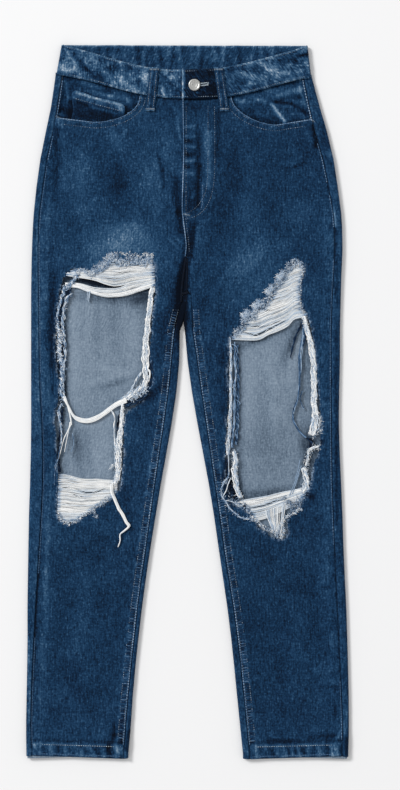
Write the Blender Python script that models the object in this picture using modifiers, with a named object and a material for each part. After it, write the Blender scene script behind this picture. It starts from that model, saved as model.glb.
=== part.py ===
"""High-waisted ripped jeans, laid flat on their back with the front side up.

X runs across the garment, +Y from the hems to the waist, +Z up from the surface it lies on.
Every section and outline is in millimetres. "up" is the height above the hem line, and x is
negative on the wearer's right leg. Cloth pieces are open surfaces with a Solidify wall.
"""
import math
from bisect import bisect_right
from collections import namedtuple

import bpy
import bmesh
from mathutils import Vector

# ---------------------------------------------------------------- driving sizes, millimetres
MM = 0.001
CENTRE_X = -0.8             # middle of the outline, which becomes the origin
LENGTH = 1000.0             # hem line to the top of the waistband
DENIM = 1.2                 # one layer of denim
SEAM_GAP = 0.3              # between two pieces that are sewn or lie together
BAND_WALL = 2.4             # waistband, two layers
LOOP_WALL = 1.5             # belt loop, folded strip
COIN_WALL = 1.0             # coin pocket on its facing
FACING_WALL = 1.0
FRAY_WALL = 1.2
CROTCH = 643.0              # height of the crotch point
SEAT_FLOOR = DENIM + SEAM_GAP   # the back rests this high, on its pockets and loops
SEAT_START = 620.0
SEAT_END = 700.0
LEG_TOP = 6.0               # top of the front layer at a leg's edges
LEG_SAG = 1.3               # how much lower it lies in the middle of a leg
SEAT_TOP = 6.8              # top of the front layer over the seat
HEM_TOP = 7.5               # top of the front layer at the hem, over the turned-up ply
HEM_HEIGHT = 17.0
HEM_FLAT = 24.0             # the front lies over the hem's ply up to here
HEM_EASE = 22.0             # height over which the hem's thickness runs out
HEM_SLANT_END = 100.0       # the slant of the hem line has run out at this height
BAND_TOP = 8.0              # top of the waistband at the front
BAND_GAP = 0.5              # between the waistband's lower edge and the pieces sewn into it
LOOP_WIDTH = 12.5
LOOP_LENGTH = 61.0
LOOP_STEP = 8.0             # a front loop comes up onto the waistband over this length
RISE_X = -1.65              # centre seam, front and back
FLY_EDGE_X = -8.4           # free edge of the fly, on the left front
FLY_START = 745.0           # lowest height at which the fly lies over the right front
FLY_LIFT = DENIM + SEAM_GAP
FLY_FLAT = 30.0             # the fly is lifted up to this x
FLY_RAMP = 16.0             # and comes down over this width
ZIP_WIDTH = 21.0
ZIP_WALL = 0.9
ZIP_START = 769.0
UNDERLAP_X = 22.0           # end of the waistband under the tab
TAB_FLAT_X = 25.0           # the tab lies flat on the underlap up to here
TAB_RAMP_X = 37.0           # and is level with the band again from here
BUTTON_X = 9.0
BUTTON_UP = 943.0
BUTTON_RADIUS = 8.3
SHANK_RADIUS = 2.6
BUTTONHOLE_END_X = 29.0
BUTTONHOLE_HALF = 0.6

# Heights of the rows that the panels share, and how many strips each surface is made of.
LEG_ROWS = 15
LEG_UPS = [0.0, HEM_FLAT, HEM_FLAT + HEM_EASE] + [CROTCH * k / LEG_ROWS for k in range(2, LEG_ROWS + 1)]
SEAT_UPS = [CROTCH + 7.0, CROTCH + 14.0, 678.0, 700.0, 715.0, 745.0, 765.0, 800.0, 840.0, 880.0, 914.0]
YOKE_UPS = [914.0, 936.0, 957.0]
FRONT_STRIPS = 10
ARC_STRIPS = 4
LAP_STRIPS = 1
FLOOR_STRIPS = 6
BAND_STRIPS = 8             # long stretches of the waistband
TAB_STRIPS = 3              # short stretches at its tab
HOLE_CORNERS = 13           # round end of the buttonhole
ZIP_ROWS = 5
BUTTON_STEPS = 24
CUT_LOW = -20.0             # cutters reach well below and above the garment
CUT_HIGH = 40.0

# Sections across the two legs: outer edge of the folded garment, outseam, inseam, inner edge.
Section = namedtuple("Section", "up outer outseam inseam inner")
RIGHT_SECTIONS = [
    Section(0, -226.5, -218.0, -91.0, -84.0),
    Section(40, -227.0, -220.0, -88.0, -80.5),
    Section(100, -226.0, -218.5, -83.0, -76.5),
    Section(160, -225.0, -216.0, -76.5, -70.5),
    Section(220, -225.0, -213.0, -70.0, -63.5),
    Section(280, -224.0, -209.5, -61.5, -55.0),
    Section(340, -223.0, -205.5, -53.0, -45.5),
    Section(400, -221.0, -203.0, -44.5, -35.5),
    Section(460, -220.0, -204.0, -35.5, -24.5),
    Section(520, -220.0, -207.0, -27.0, -15.5),
    Section(560, -220.0, -208.0, -23.0, -12.0),
    Section(600, -220.0, -208.5, -19.0, -11.5),
    Section(643, -220.0, -209.0, -8.0, -3.0),
    Section(680, -219.5, -209.5, -8.0, -3.0),
    Section(720, -218.5, -209.5, -8.0, -3.0),
    Section(760, -216.5, -208.0, -8.0, -3.0),
    Section(800, -212.5, -203.0, -8.0, -3.0),
    Section(840, -207.0, -197.0, -8.0, -3.0),
    Section(880, -199.0, -188.5, -8.0, -3.0),
    Section(910, -192.5, -183.0, -8.0, -3.0),
    Section(960, -184.5, -175.5, -8.0, -3.0),
]
LEFT_SECTIONS = [
    Section(0, 224.5, 215.5, 87.0, 77.5),
    Section(40, 225.5, 216.5, 83.5, 73.5),
    Section(100, 225.0, 214.5, 77.5, 67.5),
    Section(160, 223.5, 212.0, 71.0, 61.5),
    Section(220, 221.5, 209.0, 63.0, 54.0),
    Section(280, 218.5, 206.0, 53.0, 45.0),
    Section(340, 216.5, 203.5, 45.0, 36.5),
    Section(400, 214.0, 201.5, 36.0, 26.5),
    Section(460, 211.5, 201.0, 27.5, 15.0),
    Section(520, 212.0, 200.5, 18.5, 4.5),
    Section(560, 213.0, 200.5, 13.0, -1.0),
    Section(600, 213.0, 200.5, 7.0, -4.5),
    Section(643, 214.0, 202.0, 5.0, -0.3),
    Section(680, 215.0, 204.0, 5.0, -0.3),
    Section(720, 216.5, 205.5, 5.0, -0.3),
    Section(760, 215.0, 204.0, 5.0, -0.3),
    Section(800, 210.0, 197.5, 5.0, -0.3),
    Section(840, 204.0, 189.0, 5.0, -0.3),
    Section(880, 194.5, 178.0, 5.0, -0.3),
    Section(910, 185.5, 171.0, 5.0, -0.3),
    Section(960, 172.5, 161.0, 5.0, -0.3),
]
Side = namedtuple("Side", "name sign sections outer_hem inner_hem")
RIGHT = Side("right", -1, RIGHT_SECTIONS, 5.0, 0.5)
LEFT = Side("left", 1, LEFT_SECTIONS, 4.0, 0.0)

# The front of the waistband dips towards the button.
BandEdge = namedtuple("BandEdge", "x bottom top")
BAND_EDGES = [
    BandEdge(-184, 958.0, 1000.0),
    BandEdge(-145, 951.0, 992.0),
    BandEdge(-105, 940.0, 980.0),
    BandEdge(-65, 930.0, 970.0),
    BandEdge(-25, 925.0, 965.0),
    BandEdge(25, 924.5, 966.0),
    BandEdge(55, 927.0, 969.0),
    BandEdge(95, 935.0, 978.0),
    BandEdge(135, 946.0, 989.0),
    BandEdge(172, 955.0, 999.0),
]
BandSide = namedtuple("BandSide", "bottom_x top_x bottom_up top_up")
BAND_RIGHT_SIDE = BandSide(-184.5, -177.0, 958.0, 1000.0)
BAND_LEFT_SIDE = BandSide(172.5, 167.5, 955.0, 999.0)

# Largest soft folds of the front: a ridge (or trough) along a line through x, up.
Fold = namedtuple("Fold", "x up angle length width height")
FOLDS = [
    Fold(-24, 600, 98, 150, 20, 0.9),
    Fold(26, 590, 78, 150, 18, 0.9),
    Fold(-197, 250, 91, 300, 16, 0.7),
    Fold(192, 230, 88, 320, 16, 0.7),
    Fold(-150, 205, 84, 170, 24, 0.8),
    Fold(150, 150, 95, 190, 24, 0.8),
    Fold(-70, 770, 62, 120, 26, 0.6),
    Fold(85, 770, 118, 120, 26, 0.6),
    Fold(-2, 672, 90, 62, 10, -1.6),
]

Point = namedtuple("Point", "x up")


def outline(*pairs):
    """Corner points of a flat outline, from x, up pairs."""
    return [Point(x, up) for x, up in pairs]


# Front pocket openings: a quarter of an oval down from the waistband, then a straight line up
# to the outseam. A fullness of 1 is a true oval, and more than 1 cuts its corner.
Opening = namedtuple("Opening", "top_x top_up width depth fullness side_x side_up")
RIGHT_OPENING = Opening(-68, 927, 64, 35, 1.0, -215, 902)
LEFT_OPENING = Opening(61, 926, 62, 38, 1.18, 205, 901)
OPENING_TOP = 980.0         # the cut runs up past the panel's top edge
OPENING_CORNERS = 6
RIGHT_FACING = outline((-56, 960), (-58, 905), (-80, 885), (-110, 876), (-220, 880), (-220, 960))
LEFT_FACING = outline((50, 960), (52, 905), (74, 884), (104, 873), (215, 880), (215, 960))
COIN_POCKET = outline((-160, 935.5), (-91, 917), (-88, 880), (-163, 882))

# Rips: outer edge of the torn area, and the bands of bare weft threads left in it.
RIGHT_RIP = outline(
    (-153, 688), (-133, 690), (-108, 703), (-62, 703), (-49, 692), (-46, 655), (-50, 620),
    (-53, 560), (-50, 530), (-62, 505), (-88, 480), (-90, 440), (-94, 385), (-106, 366),
    (-128, 352), (-160, 331), (-174, 331), (-183, 345), (-182, 400), (-184, 440),
    (-186, 480), (-180, 520), (-185, 565), (-184, 620), (-178, 660), (-168, 682),
)
RIGHT_WEFT_TOP = outline(
    (-158, 700), (-40, 715), (-40, 664), (-55, 665), (-85, 666.5), (-103, 665), (-120, 667), (-140, 674),
)
RIGHT_WEFT_BOTTOM = outline(
    (-190, 404), (-176, 400), (-140, 395), (-106, 391), (-104, 376), (-90, 360), (-140, 310), (-190, 310),
)
LEFT_RIP = outline(
    (154, 703), (166, 683), (164, 655), (168, 622), (176, 585), (181, 530), (186, 470),
    (184, 435), (176, 412), (170, 380), (158, 358), (141, 343), (138, 313), (124, 309),
    (102, 322), (84, 346), (62, 362), (54, 400), (53, 440), (56, 500), (57, 560),
    (61, 600), (75, 628), (97, 646), (112, 668), (136, 693),
)
LEFT_WEFT_TOP = outline(
    (50, 584), (68, 585.5), (98, 586), (116, 594), (136, 604), (154, 614), (156, 632),
    (158, 660), (158, 715), (90, 715), (50, 640),
)
LEFT_WEFT_BOTTOM = outline(
    (76, 364), (99, 366), (118, 371), (133, 375), (150, 377), (165, 366), (150, 300), (60, 300),
)

# Frayed strips and thick threads: middle line and width. A frayed edge runs out under the
# torn outline, which trims it to lie against its panel.
Strip = namedtuple("Strip", "x up width")
RIGHT_FRAY_OUTER = [
    Strip(-160, 680, 14), Strip(-177, 657, 17), Strip(-181, 620, 16), Strip(-181.5, 565, 16),
    Strip(-178, 520, 16), Strip(-180, 507, 16),
]
RIGHT_FRAY_LOWER = [
    Strip(-182, 478, 15), Strip(-181, 440, 14), Strip(-180, 406, 14),
]
RIGHT_FRAY_INNER = [
    Strip(-48, 660, 14), Strip(-52, 620, 15), Strip(-54, 590, 15), Strip(-55, 560, 15),
    Strip(-52, 533, 15), Strip(-63, 513, 15),
]
RIGHT_FRAY_LADDER = [
    Strip(-93, 482, 17), Strip(-94, 440, 17), Strip(-99, 401, 16),
]
RIGHT_LENS_STRIP = [
    Strip(-161.3, 662.5, 6), Strip(-150, 659.5, 8), Strip(-135, 656.5, 9), Strip(-111, 654.5, 10),
    Strip(-87, 656.5, 9), Strip(-55.9, 660, 7),
]
RIGHT_STRAND = [
    Strip(-190, 500, 6), Strip(-168, 485, 7), Strip(-149, 477, 8), Strip(-130, 481.5, 8),
    Strip(-111, 491, 8), Strip(-92, 499, 7), Strip(-78, 503.5, 6), Strip(-58, 507, 6),
]
LEFT_FRAY_INNER = [
    Strip(58, 582.5, 15), Strip(57, 540, 15), Strip(56, 500, 16), Strip(54, 440, 15),
    Strip(58, 412, 16), Strip(59, 385, 18), Strip(63, 368, 18),
]
LEFT_FRAY_OUTER = [
    Strip(171, 614, 14), Strip(175, 585, 15), Strip(178, 545, 15), Strip(181, 505, 16),
    Strip(183, 470, 17), Strip(176, 437, 16), Strip(171, 414, 15), Strip(167, 382, 16),
]
LEFT_ROLL = [
    Strip(161.6, 605, 5), Strip(161.9, 585, 5), Strip(157, 550, 5), Strip(156, 515, 5),
    Strip(150, 490, 5), Strip(153, 464, 5), Strip(158, 440, 5), Strip(160, 420, 5), Strip(157, 390, 4),
]
LOOSE_YARN = [
    Strip(-99, 364, 5), Strip(-96, 356, 4.5), Strip(-91, 346, 4), Strip(-85, 335, 4),
    Strip(-84, 325, 3.5), Strip(-92, 318, 3), Strip(-95, 306, 2.5), Strip(-98, 296, 2),
]

# Back: yoke seam heights and one patch pocket, drawn about its own centre.
YOKE_CENTRE_UP = 884.0
YOKE_SIDE_UP = SEAT_UPS[-1]
YOKE_SIDE_X = 168.0
POCKET_CENTRE = Point(84, 800)
POCKET_TILT = 4.0
POCKET_OUTLINE = outline((-66, 70), (66, 70), (60, -50), (0, -76), (-60, -50))
RIGHT_LOOP = [Point(-47, 968), Point(-53, 907)]
LEFT_LOOP = [Point(42.5, 968), Point(51, 907)]
BACK_LOOP_SPOTS = [("belt_loop_back_right", -118), ("belt_loop_back_centre", 0), ("belt_loop_back_left", 112)]

# Colours, linear RGB, with roughness and metallic.
Finish = namedtuple("Finish", "colour roughness metallic")
DENIM_BLUE = Finish((0.018, 0.048, 0.115, 1.0), 0.85, 0.0)
DENIM_DARK = Finish((0.010, 0.030, 0.075, 1.0), 0.85, 0.0)
BAND_BLUE = Finish((0.045, 0.090, 0.170, 1.0), 0.85, 0.0)
WEFT_WHITE = Finish((0.58, 0.62, 0.64, 1.0), 0.95, 0.0)
FRAY_BLUE = Finish((0.20, 0.27, 0.36, 1.0), 0.95, 0.0)
BUTTON_METAL = Finish((0.42, 0.43, 0.45, 1.0), 0.35, 1.0)
ZIP_TAPE = Finish((0.012, 0.020, 0.045, 1.0), 0.8, 0.0)


# ---------------------------------------------------------------- measures of the garment
def ease(low, high, value):
    """0 below low, 1 above high, with a soft step between."""
    share = min(1.0, max(0.0, (value - low) / (high - low)))
    return share * share * (3.0 - 2.0 * share)


def mix(first, last, share):
    return first + (last - first) * share


def read(rows, key, column, at):
    """A column of a table at a place between its rows, on a smooth line through them."""
    places = [getattr(row, key) for row in rows]
    values = [getattr(row, column) for row in rows]
    last = len(rows) - 1
    k = max(0, min(last - 1, bisect_right(places, at) - 1))
    width = places[k + 1] - places[k]
    share = min(1.0, max(0.0, (at - places[k]) / width))

    def slope(i):
        before = max(0, i - 1)
        after = min(last, i + 1)
        return (values[after] - values[before]) / (places[after] - places[before])

    square = share * share
    cube = square * share
    start = (2 * cube - 3 * square + 1) * values[k] + (cube - 2 * square + share) * width * slope(k)
    end = (3 * square - 2 * cube) * values[k + 1] + (cube - square) * width * slope(k + 1)
    return start + end


def section(side, column, up):
    return read(side.sections, "up", column, up)


def band_edge(column, x):
    return read(BAND_EDGES, "x", column, x)


def back_band(edge, x):
    """Height of the back waistband's bottom or top edge."""
    share = (x - BAND_RIGHT_SIDE.bottom_x) / (BAND_LEFT_SIDE.bottom_x - BAND_RIGHT_SIDE.bottom_x)
    return mix(getattr(BAND_RIGHT_SIDE, edge), getattr(BAND_LEFT_SIDE, edge), share)


def fold_height(x, up):
    """Sum of the large folds at one place."""
    total = 0.0
    for fold in FOLDS:
        angle = math.radians(fold.angle)
        along = (x - fold.x) * math.cos(angle) + (up - fold.up) * math.sin(angle)
        across = (up - fold.up) * math.cos(angle) - (x - fold.x) * math.sin(angle)
        run = max(0.0, 1.0 - (2.0 * along / fold.length) ** 2)
        total += fold.height * run * math.exp(-(across / fold.width * 2.0) ** 2)
    return total


def back_level(up):
    """Underside of the back layer: on the surface at the legs, on its pockets at the seat."""
    return SEAT_FLOOR * ease(SEAT_START, SEAT_END, up)


def edge_level(up):
    """Top of the front layer at the side folds."""
    seat = mix(LEG_TOP, SEAT_TOP, ease(SEAT_START, SEAT_END, up))
    return mix(HEM_TOP, seat, ease(HEM_FLAT, HEM_FLAT + HEM_EASE, up))


def front_level(side, x, up):
    """Top of the front layer anywhere between the side folds."""
    inner = section(side, "inner", up)
    outer = section(side, "outer", up)
    share = min(1.0, max(0.0, (x - outer) / (inner - outer)))
    bowl = (4.0 * share * (1.0 - share)) ** 2
    leg = ease(HEM_FLAT, HEM_FLAT + 3 * HEM_EASE, up) * (1.0 - ease(SEAT_START, SEAT_END, up))
    level = edge_level(up) - LEG_SAG * leg * bowl + fold_height(x, up) * min(1.0, 6.0 * share * (1.0 - share))
    if side is LEFT:
        fly = ease(FLY_START - 30.0, FLY_START, up) * (1.0 - ease(FLY_FLAT, FLY_FLAT + FLY_RAMP, x))
        level += FLY_LIFT * fly
    return level


def hem_up(side, share, up):
    """Heights near the hem follow its slight slant; share runs from the outer to the inner edge."""
    slant = mix(side.outer_hem, side.inner_hem, share)
    return up + slant * max(0.0, 1.0 - up / HEM_SLANT_END)


# ---------------------------------------------------------------- making pieces
for old in list(bpy.data.objects):
    bpy.data.objects.remove(old, do_unlink=True)

garment = bpy.data.collections.new("ripped_jeans")
cutters = bpy.data.collections.new("cutters")
bpy.context.scene.collection.children.link(garment)
bpy.context.scene.collection.children.link(cutters)


def place(x, up, z):
    """A garment point in metres, with the origin under the middle of the garment."""
    return Vector(((x - CENTRE_X) * MM, (up - LENGTH / 2.0) * MM, z * MM))


def add_object(name, mesh, finish):
    material = bpy.data.materials.new(name)
    material.use_nodes = True
    shader = material.node_tree.nodes["Principled BSDF"]
    shader.inputs["Base Color"].default_value = finish.colour
    shader.inputs["Roughness"].default_value = finish.roughness
    shader.inputs["Metallic"].default_value = finish.metallic
    mesh.materials.append(material)
    piece = bpy.data.objects.new(name, mesh)
    garment.objects.link(piece)
    return piece


def sheet(name, rows, wall, finish, closed=False):
    """A cloth surface through rows of points, listed with its outer face up or out, and its wall."""
    bm = bmesh.new()
    grid = [[bm.verts.new(point) for point in row] for row in rows]
    width = len(rows[0])
    for lower, upper in zip(grid, grid[1:]):
        for k in range(width if closed else width - 1):
            following = (k + 1) % width
            bm.faces.new((lower[k], lower[following], upper[following], upper[k]))
    mesh = bpy.data.meshes.new(name)
    bm.to_mesh(mesh)
    bm.free()
    mesh.shade_smooth()
    piece = add_object(name, mesh, finish)
    solidify = piece.modifiers.new("wall", "SOLIDIFY")
    solidify.thickness = wall * MM
    solidify.offset = -1.0
    solidify.use_even_offset = True
    return piece


def prism(name, points, low, high):
    """A welded mesh of a flat outline between two heights."""
    curve = bpy.data.curves.new(name, "CURVE")
    curve.dimensions = "2D"
    curve.fill_mode = "BOTH"
    curve.extrude = (high - low) / 2.0 * MM
    spline = curve.splines.new("POLY")
    spline.points.add(len(points) - 1)
    for target, point in zip(spline.points, points):
        target.co = (*place(point.x, point.up, 0.0)[:2], 0.0, 1.0)
    spline.use_cyclic_u = True
    shape = bpy.data.objects.new(name + "_outline", curve)
    shape.location.z = (high + low) / 2.0 * MM
    bpy.context.scene.collection.objects.link(shape)
    graph = bpy.context.evaluated_depsgraph_get()
    mesh = bpy.data.meshes.new_from_object(shape.evaluated_get(graph))
    mesh.transform(shape.matrix_world)
    bpy.data.objects.remove(shape, do_unlink=True)
    bm = bmesh.new()
    bm.from_mesh(mesh)
    bmesh.ops.remove_doubles(bm, verts=bm.verts, dist=0.000001)
    bmesh.ops.recalc_face_normals(bm, faces=bm.faces)
    bm.to_mesh(mesh)
    bm.free()
    mesh.materials.clear()
    return mesh


def cutter(name, points):
    """A tall prism of an outline, kept out of the build."""
    block = bpy.data.objects.new(name, prism(name, points, CUT_LOW, CUT_HIGH))
    block.hide_render = True
    block.display_type = "WIRE"
    cutters.objects.link(block)
    return block


def combine(piece, tool, operation):
    boolean = piece.modifiers.new(tool.name, "BOOLEAN")
    boolean.object = tool
    boolean.operation = operation
    boolean.solver = "EXACT"


def inset(points, distance):
    """The outline moved inwards by a distance, whichever way round it runs."""
    count = len(points)
    pairs = [(points[k], points[(k + 1) % count]) for k in range(count)]
    turn = sum(a.x * b.up - b.x * a.up for a, b in pairs)
    inward = 1.0 if turn > 0 else -1.0
    moved = []
    for k, point in enumerate(points):
        before = points[k - 1]
        after = points[(k + 1) % count]
        first = Vector((point.x - before.x, point.up - before.up)).normalized()
        second = Vector((after.x - point.x, after.up - point.up)).normalized()
        middle = (first + second).normalized()
        reach = distance / max(0.5, first.dot(middle))
        moved.append(Point(point.x - middle.y * inward * reach, point.up + middle.x * inward * reach))
    return moved


# ---------------------------------------------------------------- front panels
def front_inner_x(side, up):
    """Inner edge of a front panel: the inseam, the centre seam, and the fly's free edge."""
    if up < SEAT_UPS[1]:
        return section(side, "inseam", min(up, CROTCH)) + side.sign * SEAM_GAP / 2.0
    if side is LEFT and up >= FLY_START + 20.0:
        return FLY_EDGE_X
    return RISE_X + side.sign * SEAM_GAP / 2.0


def front_surface(side, drop=0.0):
    """Rows of the front layer's surface, moved down by drop; it stops under the waistband."""
    rows = []
    for up in LEG_UPS + SEAT_UPS + YOKE_UPS[1:]:
        inner = front_inner_x(side, up)
        outer = section(side, "outseam", up) - side.sign * SEAM_GAP / 2.0
        row = []
        for k in range(FRONT_STRIPS + 1):
            share = k / FRONT_STRIPS
            x = mix(outer, inner, share)
            limit = band_edge("bottom", x) - BAND_GAP
            height = hem_up(side, share, up)
            if up > SEAT_END:
                height = mix(SEAT_END, limit, (up - SEAT_END) / (YOKE_UPS[-1] - SEAT_END))
            row.append(place(x, height, front_level(side, x, height) - drop))
        rows.append(row if side is RIGHT else row[::-1])
    return rows


def pocket_cut(opening):
    """Outline of what a pocket opening takes off its panel."""
    outward = math.copysign(1.0, opening.top_x)
    points = [Point(opening.top_x, YOKE_UPS[-1] - 7.0)]
    for k in range(OPENING_CORNERS + 1):
        angle = math.pi / 2.0 * k / OPENING_CORNERS
        over = opening.width * (1.0 - max(0.0, math.cos(angle)) ** opening.fullness)
        down = opening.depth * math.sin(angle) ** opening.fullness
        points.append(Point(opening.top_x + outward * over, opening.top_up - down))
    return points + [Point(opening.side_x, opening.side_up), Point(opening.side_x, OPENING_TOP)]


def front_panel(side, opening, rip):
    panel = sheet("front_" + side.name, front_surface(side), DENIM, DENIM_BLUE)
    combine(panel, cutter(side.name + "_pocket_cut", pocket_cut(opening)), "DIFFERENCE")
    combine(panel, cutter(side.name + "_rip_cut", rip), "DIFFERENCE")


def layer_piece(name, side, shapes, drop, wall, finish):
    """A flat piece cut from the front layer's surface, moved down by drop, inside each outline."""
    piece = sheet(name, front_surface(side, drop), wall, finish)
    for shape in shapes:
        combine(piece, cutter(name + "_shape_" + str(len(cutters.objects)), shape), "INTERSECT")


front_panel(RIGHT, RIGHT_OPENING, RIGHT_RIP)
front_panel(LEFT, LEFT_OPENING, LEFT_RIP)

COIN_DROP = DENIM + SEAM_GAP
FACING_DROP = COIN_DROP + COIN_WALL + SEAM_GAP
layer_piece("pocket_facing_right", RIGHT, [RIGHT_FACING], FACING_DROP, FACING_WALL, DENIM_DARK)
layer_piece("pocket_facing_left", LEFT, [LEFT_FACING], FACING_DROP, FACING_WALL, DENIM_DARK)
layer_piece("coin_pocket", RIGHT, [COIN_POCKET], COIN_DROP, COIN_WALL, BAND_BLUE)


# ---------------------------------------------------------------- weft bands and frayed edges
RIGHT_TORN = inset(RIGHT_RIP, SEAM_GAP)
LEFT_TORN = inset(LEFT_RIP, SEAM_GAP)
layer_piece("right_weft_top", RIGHT, [RIGHT_TORN, RIGHT_WEFT_TOP], 0.0, FRAY_WALL, WEFT_WHITE)
layer_piece("right_weft_bottom", RIGHT, [RIGHT_TORN, RIGHT_WEFT_BOTTOM], 0.0, FRAY_WALL, WEFT_WHITE)
layer_piece("left_weft_top", LEFT, [LEFT_TORN, LEFT_WEFT_TOP], 0.0, FRAY_WALL, WEFT_WHITE)
layer_piece("left_weft_bottom", LEFT, [LEFT_TORN, LEFT_WEFT_BOTTOM], 0.0, FRAY_WALL, WEFT_WHITE)


def strip(name, side, line, finish, lift=0.0, cut=None):
    """A ribbon along a middle line, in the front layer or raised above it, inside an outline."""
    rows = []
    for k, spot in enumerate(line):
        before = line[max(0, k - 1)]
        after = line[min(len(line) - 1, k + 1)]
        way = Vector((after.x - before.x, after.up - before.up)).normalized()
        row = []
        for share in (0.5, -0.5):
            x = spot.x - way.y * spot.width * share
            up = spot.up + way.x * spot.width * share
            row.append(place(x, up, front_level(side, x, up) + lift))
        rows.append(row)
    ribbon = sheet(name, rows, FRAY_WALL, finish)
    if cut:
        combine(ribbon, cutter(name + "_limit", cut), "INTERSECT")


strip("right_fray_outer", RIGHT, RIGHT_FRAY_OUTER, FRAY_BLUE, cut=RIGHT_TORN)
strip("right_fray_lower", RIGHT, RIGHT_FRAY_LOWER, FRAY_BLUE, cut=RIGHT_TORN)
strip("right_fray_inner", RIGHT, RIGHT_FRAY_INNER, WEFT_WHITE, cut=RIGHT_TORN)
strip("right_fray_ladder", RIGHT, RIGHT_FRAY_LADDER, WEFT_WHITE, cut=RIGHT_TORN)
strip("right_weft_strip", RIGHT, RIGHT_LENS_STRIP, WEFT_WHITE, cut=RIGHT_TORN)
strip("right_weft_strand", RIGHT, RIGHT_STRAND, WEFT_WHITE, cut=RIGHT_TORN)
strip("left_fray_inner", LEFT, LEFT_FRAY_INNER, FRAY_BLUE, cut=LEFT_TORN)
strip("left_fray_outer", LEFT, LEFT_FRAY_OUTER, WEFT_WHITE, cut=LEFT_TORN)
strip("left_fray_roll", LEFT, LEFT_ROLL, DENIM_BLUE, cut=LEFT_TORN)
strip("loose_yarn", RIGHT, LOOSE_YARN, WEFT_WHITE, lift=SEAM_GAP + FRAY_WALL)


# ---------------------------------------------------------------- back panels and yokes
def back_section(side, up):
    """Points of the back layer at one height, from the inseam or centre seam, down round the
    inner fold, out along the surface, and up round the outer fold to the outseam."""
    base = back_level(up)
    top = edge_level(up)
    radius = (top - base) / 2.0
    middle = base + radius
    outer = section(side, "outer", up) - side.sign * radius
    points = []
    if up <= CROTCH:
        inner = section(side, "inner", up) + side.sign * radius
        seam = section(side, "inseam", up) - side.sign * SEAM_GAP / 2.0
        for k in range(LAP_STRIPS):
            points.append((mix(seam, inner, k / LAP_STRIPS), top))
        for k in range(ARC_STRIPS + 1):
            angle = math.pi * k / ARC_STRIPS
            points.append((inner - side.sign * radius * math.sin(angle), middle + radius * math.cos(angle)))
    else:
        inner = RISE_X + side.sign * (SEAM_GAP / 2.0 + 2.0 * (LAP_STRIPS + ARC_STRIPS))
        for k in range(LAP_STRIPS + ARC_STRIPS + 1):
            points.append((RISE_X + side.sign * (SEAM_GAP / 2.0 + 2.0 * k), base))
    for k in range(1, FLOOR_STRIPS):
        points.append((mix(inner, outer, k / FLOOR_STRIPS), base))
    for k in range(ARC_STRIPS + 1):
        angle = math.pi * k / ARC_STRIPS
        points.append((outer + side.sign * radius * math.sin(angle), middle - radius * math.cos(angle)))
    seam = section(side, "outseam", up) + side.sign * SEAM_GAP / 2.0
    for k in range(1, LAP_STRIPS + 1):
        points.append((mix(outer, seam, k / LAP_STRIPS), top))
    return points


def yoke_seam(x):
    return mix(YOKE_CENTRE_UP, YOKE_SIDE_UP, min(1.0, abs(x) / YOKE_SIDE_X))


def back_limit(x, z):
    """Top of the back layer under the waistband, which dips only on its front side."""
    on_top = z > (SEAT_FLOOR + SEAT_TOP) / 2.0
    return (band_edge("bottom", x) if on_top else back_band("bottom_up", x)) - BAND_GAP


def back_panel(side):
    rows = []
    for up in LEG_UPS + SEAT_UPS:
        points = back_section(side, up)
        row = []
        for k, (x, z) in enumerate(points):
            share = 1.0 - k / (len(points) - 1)
            height = hem_up(side, share, up)
            if up > SEAT_END:
                seam = yoke_seam(x) - SEAM_GAP / 2.0
                height = mix(SEAT_END, seam, (up - SEAT_END) / (YOKE_SIDE_UP - SEAT_END))
            row.append(place(x, height, z))
        rows.append(row if side is RIGHT else row[::-1])
    sheet("back_" + side.name, rows, DENIM, DENIM_BLUE)


def yoke(side):
    rows = []
    for up in YOKE_UPS:
        share = (up - YOKE_UPS[0]) / (YOKE_UPS[-1] - YOKE_UPS[0])
        row = []
        for x, z in back_section(side, up):
            seam = yoke_seam(x) + SEAM_GAP / 2.0
            row.append(place(x, mix(seam, back_limit(x, z), share), z))
        rows.append(row if side is RIGHT else row[::-1])
    sheet("yoke_" + side.name, rows, DENIM, DENIM_BLUE)


for leg in (RIGHT, LEFT):
    back_panel(leg)
    yoke(leg)


# ---------------------------------------------------------------- turned-up hems
def hem(side):
    """The hem's turned-up ply: a flat ring just inside the end of the leg."""
    step = DENIM + SEAM_GAP
    rows = []
    for up in (0.0, HEM_HEIGHT):
        base = back_level(up) + step
        top = edge_level(up) - step
        radius = (top - base) / 2.0
        outer = section(side, "outer", up) - side.sign * (radius + step)
        inner = section(side, "inner", up) + side.sign * (radius + step)
        ring = []
        for start, end, turn in ((inner, outer, 0.0), (outer, inner, math.pi)):
            for k in range(1, FLOOR_STRIPS):
                ring.append((mix(start, end, k / FLOOR_STRIPS), base if turn == 0.0 else top))
            for k in range(ARC_STRIPS + 1):
                angle = turn + math.pi * k / ARC_STRIPS
                ring.append((end + side.sign * radius * math.sin(angle), base + radius - radius * math.cos(angle)))
        row = []
        for x, z in ring:
            share = (x - outer) / (inner - outer)
            row.append(place(x, hem_up(side, share, up + 0.5), z))
        rows.append(row if side is RIGHT else row[::-1])
    sheet("hem_" + side.name, rows, DENIM, BAND_BLUE, closed=True)


hem(RIGHT)
hem(LEFT)


# ---------------------------------------------------------------- waistband
def band_level(x):
    """Outer face of the front waistband; the tab rises over the underlap."""
    lift = (BAND_WALL + SEAM_GAP) * (1.0 - ease(TAB_FLAT_X, TAB_RAMP_X, x))
    return BAND_TOP + lift


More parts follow.
